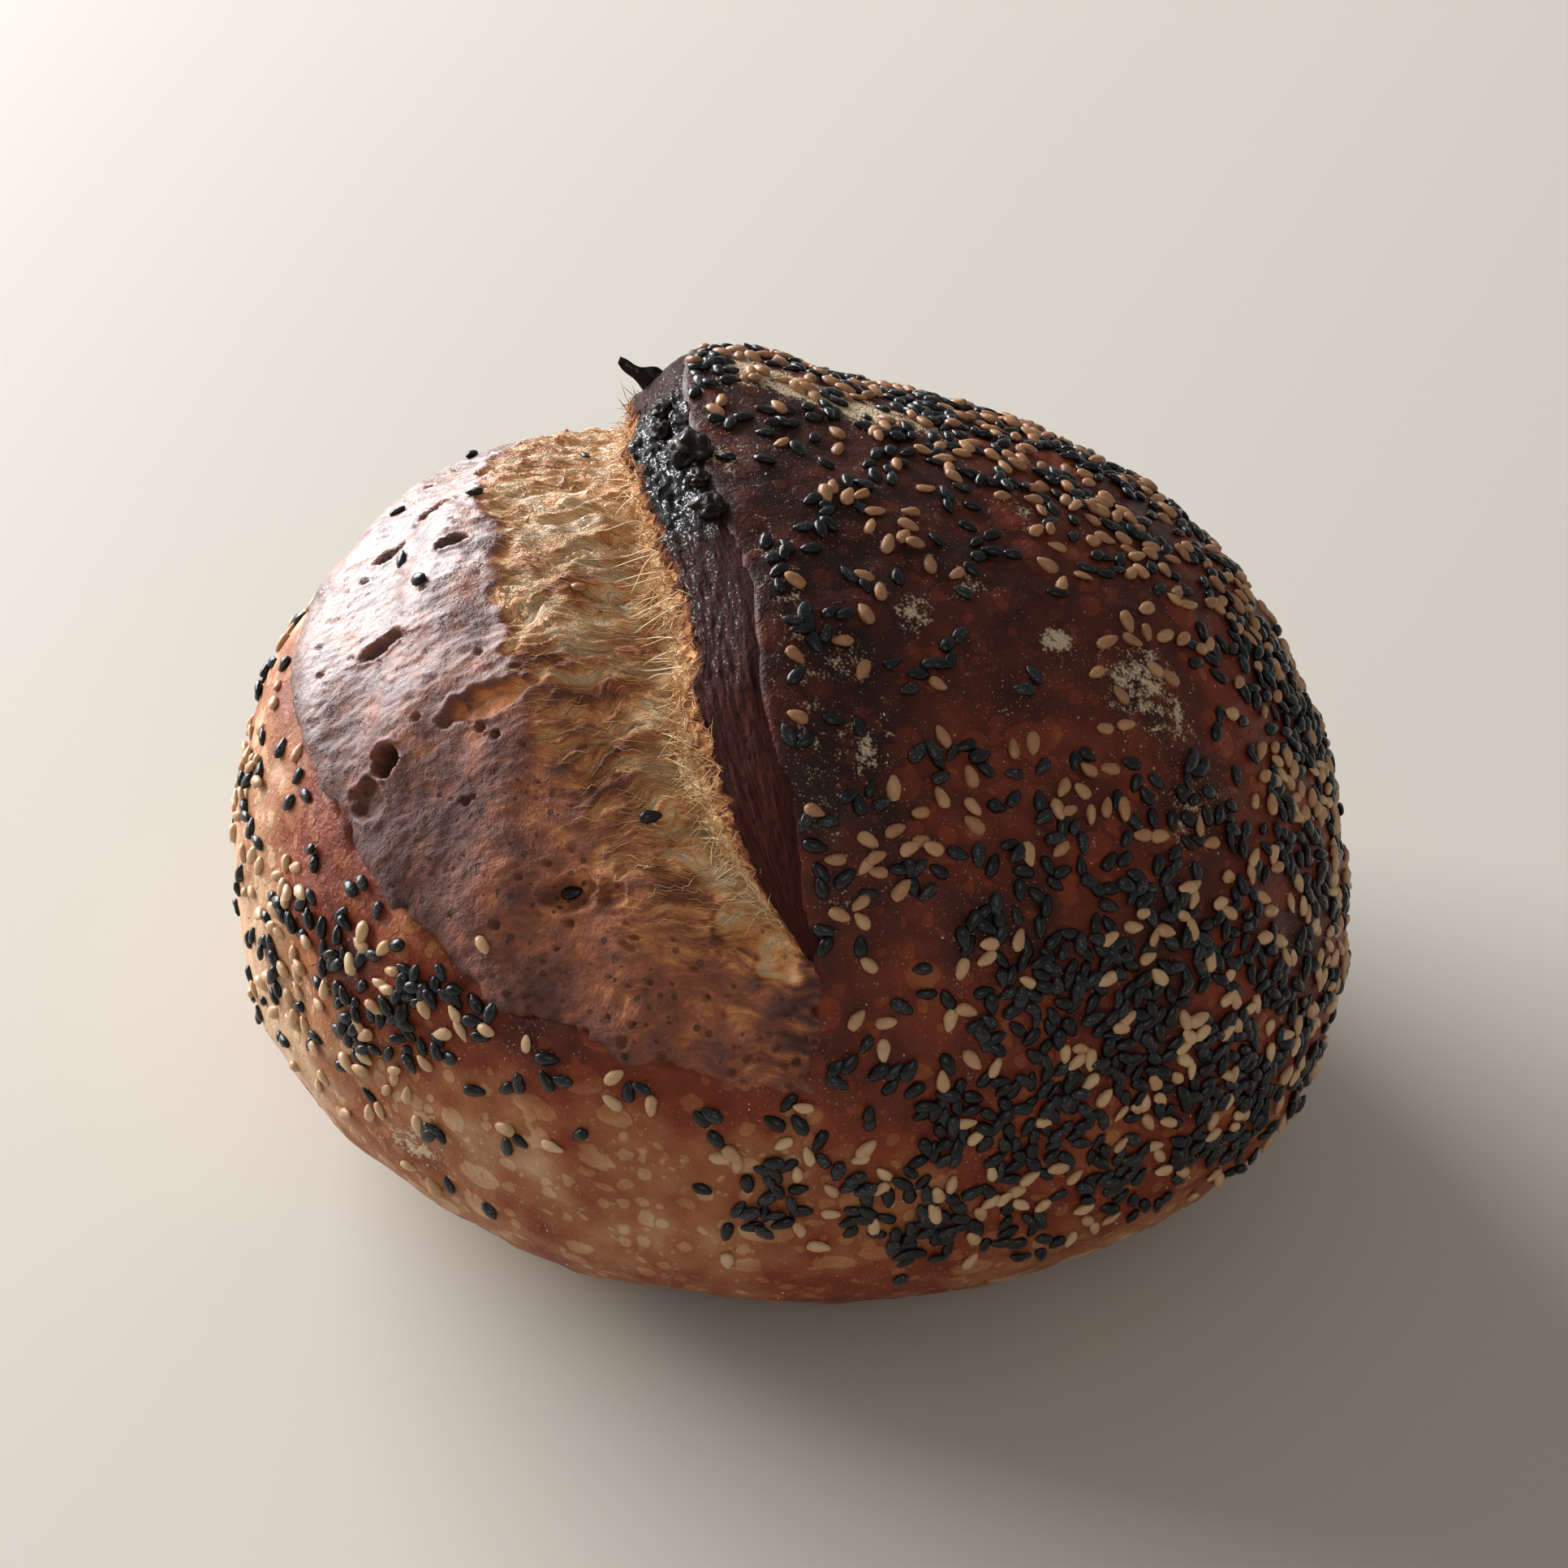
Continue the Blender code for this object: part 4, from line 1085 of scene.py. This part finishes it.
for _ in range(LOOSE_COUNT):
    place, share = chance.uniform(-56, 50), 0.04 + 0.4 * chance.random() ** 1.3
    length = chance.uniform(0.03, 0.08)
    drift = chance.gauss(0.3, 0.7)
    lift = chance.uniform(0.05, 0.3)
    line = []
    for i in range(7):
        spot = bloom_spot(place + drift * i / 6 + 0.12 * math.sin(i * 1.7 + place), share + length * i / 6)
        line.append(spot + out_at(-20, place) * MM * (0.05 + lift * math.sin(math.pi * i / 6)))
    bridges.append((np.array(line), chance.uniform(0.09, 0.18), chance.uniform(0.0, 0.3) + 0.6 * share))

thread_finish = Finish("gluten_thread", {"Roughness": 0.45})
tone = thread_finish.read("tone")
THREAD_CREAM, THREAD_GOLD = (0.80, 0.64, 0.40), (0.68, 0.42, 0.17)
THREAD_BROWN, THREAD_CHAR = (0.36, 0.15, 0.05), (0.03, 0.018, 0.014)
thread_colour = thread_finish.ramp(tone, ((0.0, THREAD_CREAM), (0.3, THREAD_GOLD), (0.6, THREAD_BROWN),
                                          (0.9, THREAD_CHAR)))
thread_finish.feed(thread_finish.shader.inputs["Base Color"], thread_colour)
fringe_threads = thread_piece("fringe_threads", fringe, thread_finish.material)
gluten_strands = thread_piece("gluten_strands", bridges, thread_finish.material)

# The grains: wheat flour and flakes of bran from the proving basket. They stuck to the wet dough in patches
# and baked on to the crust, each at a turn of its own.
GRAIN_SIZE = 0.42 * MM
GRAIN_TRIES = 26000
GRAIN_BACKGROUND = 0.012  # the chance of a grain outside the patches

grain_rows = open_crust.scatter(GRAIN_TRIES, 91)
grain_chance = flour_at(grain_rows[:, 6], grain_rows[:, 7]) + GRAIN_BACKGROUND
grain_rows = grain_rows[np.random.default_rng(92).random(len(grain_rows)) < grain_chance]


def grain_piece(name, mesh, material, seed):
    """Angular grains, each turned and stretched at random."""
    tree = Tree(name, Size=GRAIN_SIZE)
    grain = tree.node("GeometryNodeMeshIcoSphere", {}, {"Radius": 0.5, "Subdivisions": 1})
    turn = tree.random((0, 0, 0), (6.28, 6.28, 6.28), seed)
    size = tree.random((0.5, 0.4, 0.3), (1.5, 1.1, 0.8), seed + 1)
    size = tree.node("ShaderNodeVectorMath", {"operation": "SCALE"}, {0: size, "Scale": tree.given["Size"]})
    grains = tree.node("GeometryNodeInstanceOnPoints", {},
                       {"Points": tree.given["Geometry"], "Instance": grain,
                                                           "Rotation": turn, "Scale": size})
    made = tree.piece(name, mesh, grains, material)
    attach(made, "root")
    return made


grain_finish = Finish("flour_and_bran", {"Roughness": 0.8})
tone = grain_finish.read("tone")
WHITE_FLOUR, BRAN, DARK_BRAN = (0.72, 0.64, 0.48), (0.52, 0.36, 0.18), (0.30, 0.14, 0.06)
grain_finish.feed(grain_finish.shader.inputs["Base Color"],
                  grain_finish.ramp(tone, ((0.0, WHITE_FLOUR), (0.6, BRAN), (1.0, DARK_BRAN))))
grain_tone = np.random.default_rng(93).random(len(grain_rows)) ** 1.5
flour_grains = grain_piece("flour_grains", points_mesh("grain_points", grain_rows, {"tone": grain_tone}),
                           grain_finish.material, 94)

# The char: the thin skin along the ear's crest blew up in blisters, which burnt to glossy black shells.
# Each one is a lumpy dome of crust, baked fast to the crest.
BURNT_BLISTERS = ((-10.3, -4.0, 3.3, 2.6), (-8.4, -12.5, 2.3, 1.9), (-13.4, 4.5, 1.7, 1.4),
                  (-9.5, -8.4, 1.5, 1.2), (-13.2, 0.5, 1.6, 1.3))


def burnt_shell(name):
    """Lumpy domes on the crest, joined in one mesh of closed bodies."""
    shells = bmesh.new()
    for meridian, place, radius, height in BURNT_BLISTERS:
        base, up = dome(np.array([meridian]), np.array([place]))
        middle = base[0] + up[0] * (RIDGE_HEIGHT - 0.3) * MM * float(ear_opening(np.array(place)))
        body = bmesh.ops.create_icosphere(shells, subdivisions=4, radius=1)
        turn = Vector(up[0]).to_track_quat("Z", "Y").to_matrix()
        for v in body["verts"]:
            lump = (0.92 + 0.42 * noise.noise(v.co * 1.9 + Vector((meridian, place, 0)))
                    + 0.14 * noise.noise(v.co * 5))
            v.co = (Vector(middle)
                    + turn @ Vector((v.co.x * radius * 1.25, v.co.y * radius, v.co.z * height)) * MM * lump)
    mesh = bpy.data.meshes.new(name)
    shells.to_mesh(mesh)
    shells.free()
    mesh.shade_smooth()
    return mesh


SOOT_BLACK, SOOT_BROWN = (0.006, 0.005, 0.005), (0.028, 0.016, 0.013)

char_finish = Finish("char", {"Coat Roughness": 0.08, "Specular IOR Level": 0.15})
at = char_finish.spot()
soot = char_finish.noise(at, 900, 3, 0.6)
char_finish.finished(char_finish.mix(soot, SOOT_BLACK, SOOT_BROWN), 0.5 + (soot - 0.5) * 0.3,
                     soot * 0.45, char_finish.rise(soot, 0.5, 0.6) * 0.7)
burnt = added("burnt_blisters", burnt_shell("burnt_blisters"))
burnt.data.materials.append(char_finish.material)
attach(burnt, "root")

# The curled flake: a strip of the ear's own skin that tore free at its highest point and curled up as it
# dried. It is thin and charred, torn to a point, and still joined to the ear at its root.
FLAKE_PLACE, FLAKE_LENGTH, FLAKE_WIDTH, FLAKE_THICKNESS = 17, 6.2, 4.2, 0.5
flake_root = Vector(flap_spot(FLAKE_PLACE, flap_turn[4] + 6))
flake_steps = 18
flake = bmesh.new()
flake_rows = []
for i in range(flake_steps):
    t = i / (flake_steps - 1)
    middle = flake_root + Vector((-FLAKE_LENGTH * t + 1.2, 0.8 * t, 2.2 * t ** 2 + 0.8 * t)) * MM
    half_width = FLAKE_WIDTH / 2 * (1 - 0.75 * t ** 2) * (0.8 + 0.2 * math.sin(8 * t)) * MM
    tilt = Vector((0.3, 0.4, 0.85)).normalized()
    rise = Vector((0, 0, FLAKE_THICKNESS / 2 * (1.1 - t))) * MM
    ring = [middle + tilt * half_width + rise * 0.3, middle + rise * 1.5,
            middle - tilt * half_width + rise * 0.3,
            middle - tilt * half_width - rise, middle - rise * 0.4, middle + tilt * half_width - rise]
    flake_rows.append([flake.verts.new(point) for point in ring])
for first, second in zip(flake_rows, flake_rows[1:]):
    for i in range(6):
        flake.faces.new((first[i], first[(i + 1) % 6], second[(i + 1) % 6], second[i]))
flake.faces.new(flake_rows[0])
flake.faces.new(flake_rows[-1])
bmesh.ops.recalc_face_normals(flake, faces=flake.faces)
flake_mesh = bpy.data.meshes.new("curled_flake")
flake.to_mesh(flake_mesh)
flake.free()
flake_mesh.shade_smooth()
curled_flake = added("curled_flake", flake_mesh)
flake_mesh.materials.append(char_finish.material)
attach(curled_flake, "root")

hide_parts("loaf")

# The set: a plain pale floor under the loaf, a soft window at the back left and a weak fill at the front.
# The camera looks down on the loaf's front at the photograph's angle.
floor_mesh = bpy.data.meshes.new("floor")
floor_mesh.from_pydata([(-3, -3, 0), (3, -3, 0), (3, 3, 0), (-3, 3, 0)], [], [(0, 1, 2, 3)])
floor = added("floor", floor_mesh)
floor_finish = Finish("plain_floor", {"Base Color": (0.60, 0.565, 0.50, 1), "Roughness": 0.7})
floor_mesh.materials.append(floor_finish.material)


def soft_light(name, place, aim, size, power, colour):
    """A lit rectangle at a place, turned to its aim."""
    light = bpy.data.lights.new(name, "AREA")
    light.shape, light.size, light.size_y = "RECTANGLE", size[0], size[1]
    light.energy, light.color = power, colour
    lamp = bpy.data.objects.new(name, light)
    lamp.location = place
    lamp.rotation_euler = (Vector(aim) - Vector(place)).to_track_quat("-Z", "Y").to_euler()
    bpy.context.scene.collection.objects.link(lamp)


soft_light("window", (-2.49, 2.00, 1.12), (0, 0, 0.06), (3.3, 1.9), 330, (0.97, 0.98, 1.0))
soft_light("fill", (0.3, -1.6, 1.3), (0, 0, 0.05), (1.2, 1.2), 5, (1.0, 0.95, 0.88))
ROOM_LIGHT = 0.25
world = bpy.data.worlds.new("room")
bpy.context.scene.world = world
world.use_nodes = True
world.node_tree.nodes["Background"].inputs["Color"].default_value = (1.0, 0.97, 0.93, 1)
world.node_tree.nodes["Background"].inputs["Strength"].default_value = ROOM_LIGHT
bpy.context.scene.view_settings.view_transform = "Standard"

CAMERA_PLACE, CAMERA_AIM = (0, -0.3195, 0.2907), (-0.0017, 0.0015, 0.0520)
CAMERA_ROLL = 2.5
CAMERA_SENSOR, CAMERA_LENS = 36, 57.95
camera = bpy.data.objects.new("camera", bpy.data.cameras.new("camera"))
camera.data.sensor_width, camera.data.lens = CAMERA_SENSOR, CAMERA_LENS
camera.data.clip_start = 0.01
look = (Vector(CAMERA_AIM) - Vector(CAMERA_PLACE)).to_track_quat("-Z", "Y").to_matrix().to_4x4()
roll = Matrix.Rotation(math.radians(CAMERA_ROLL), 4, "Z")
camera.matrix_world = Matrix.Translation(CAMERA_PLACE) @ look @ roll
bpy.context.scene.collection.objects.link(camera)
bpy.context.scene.camera = camera
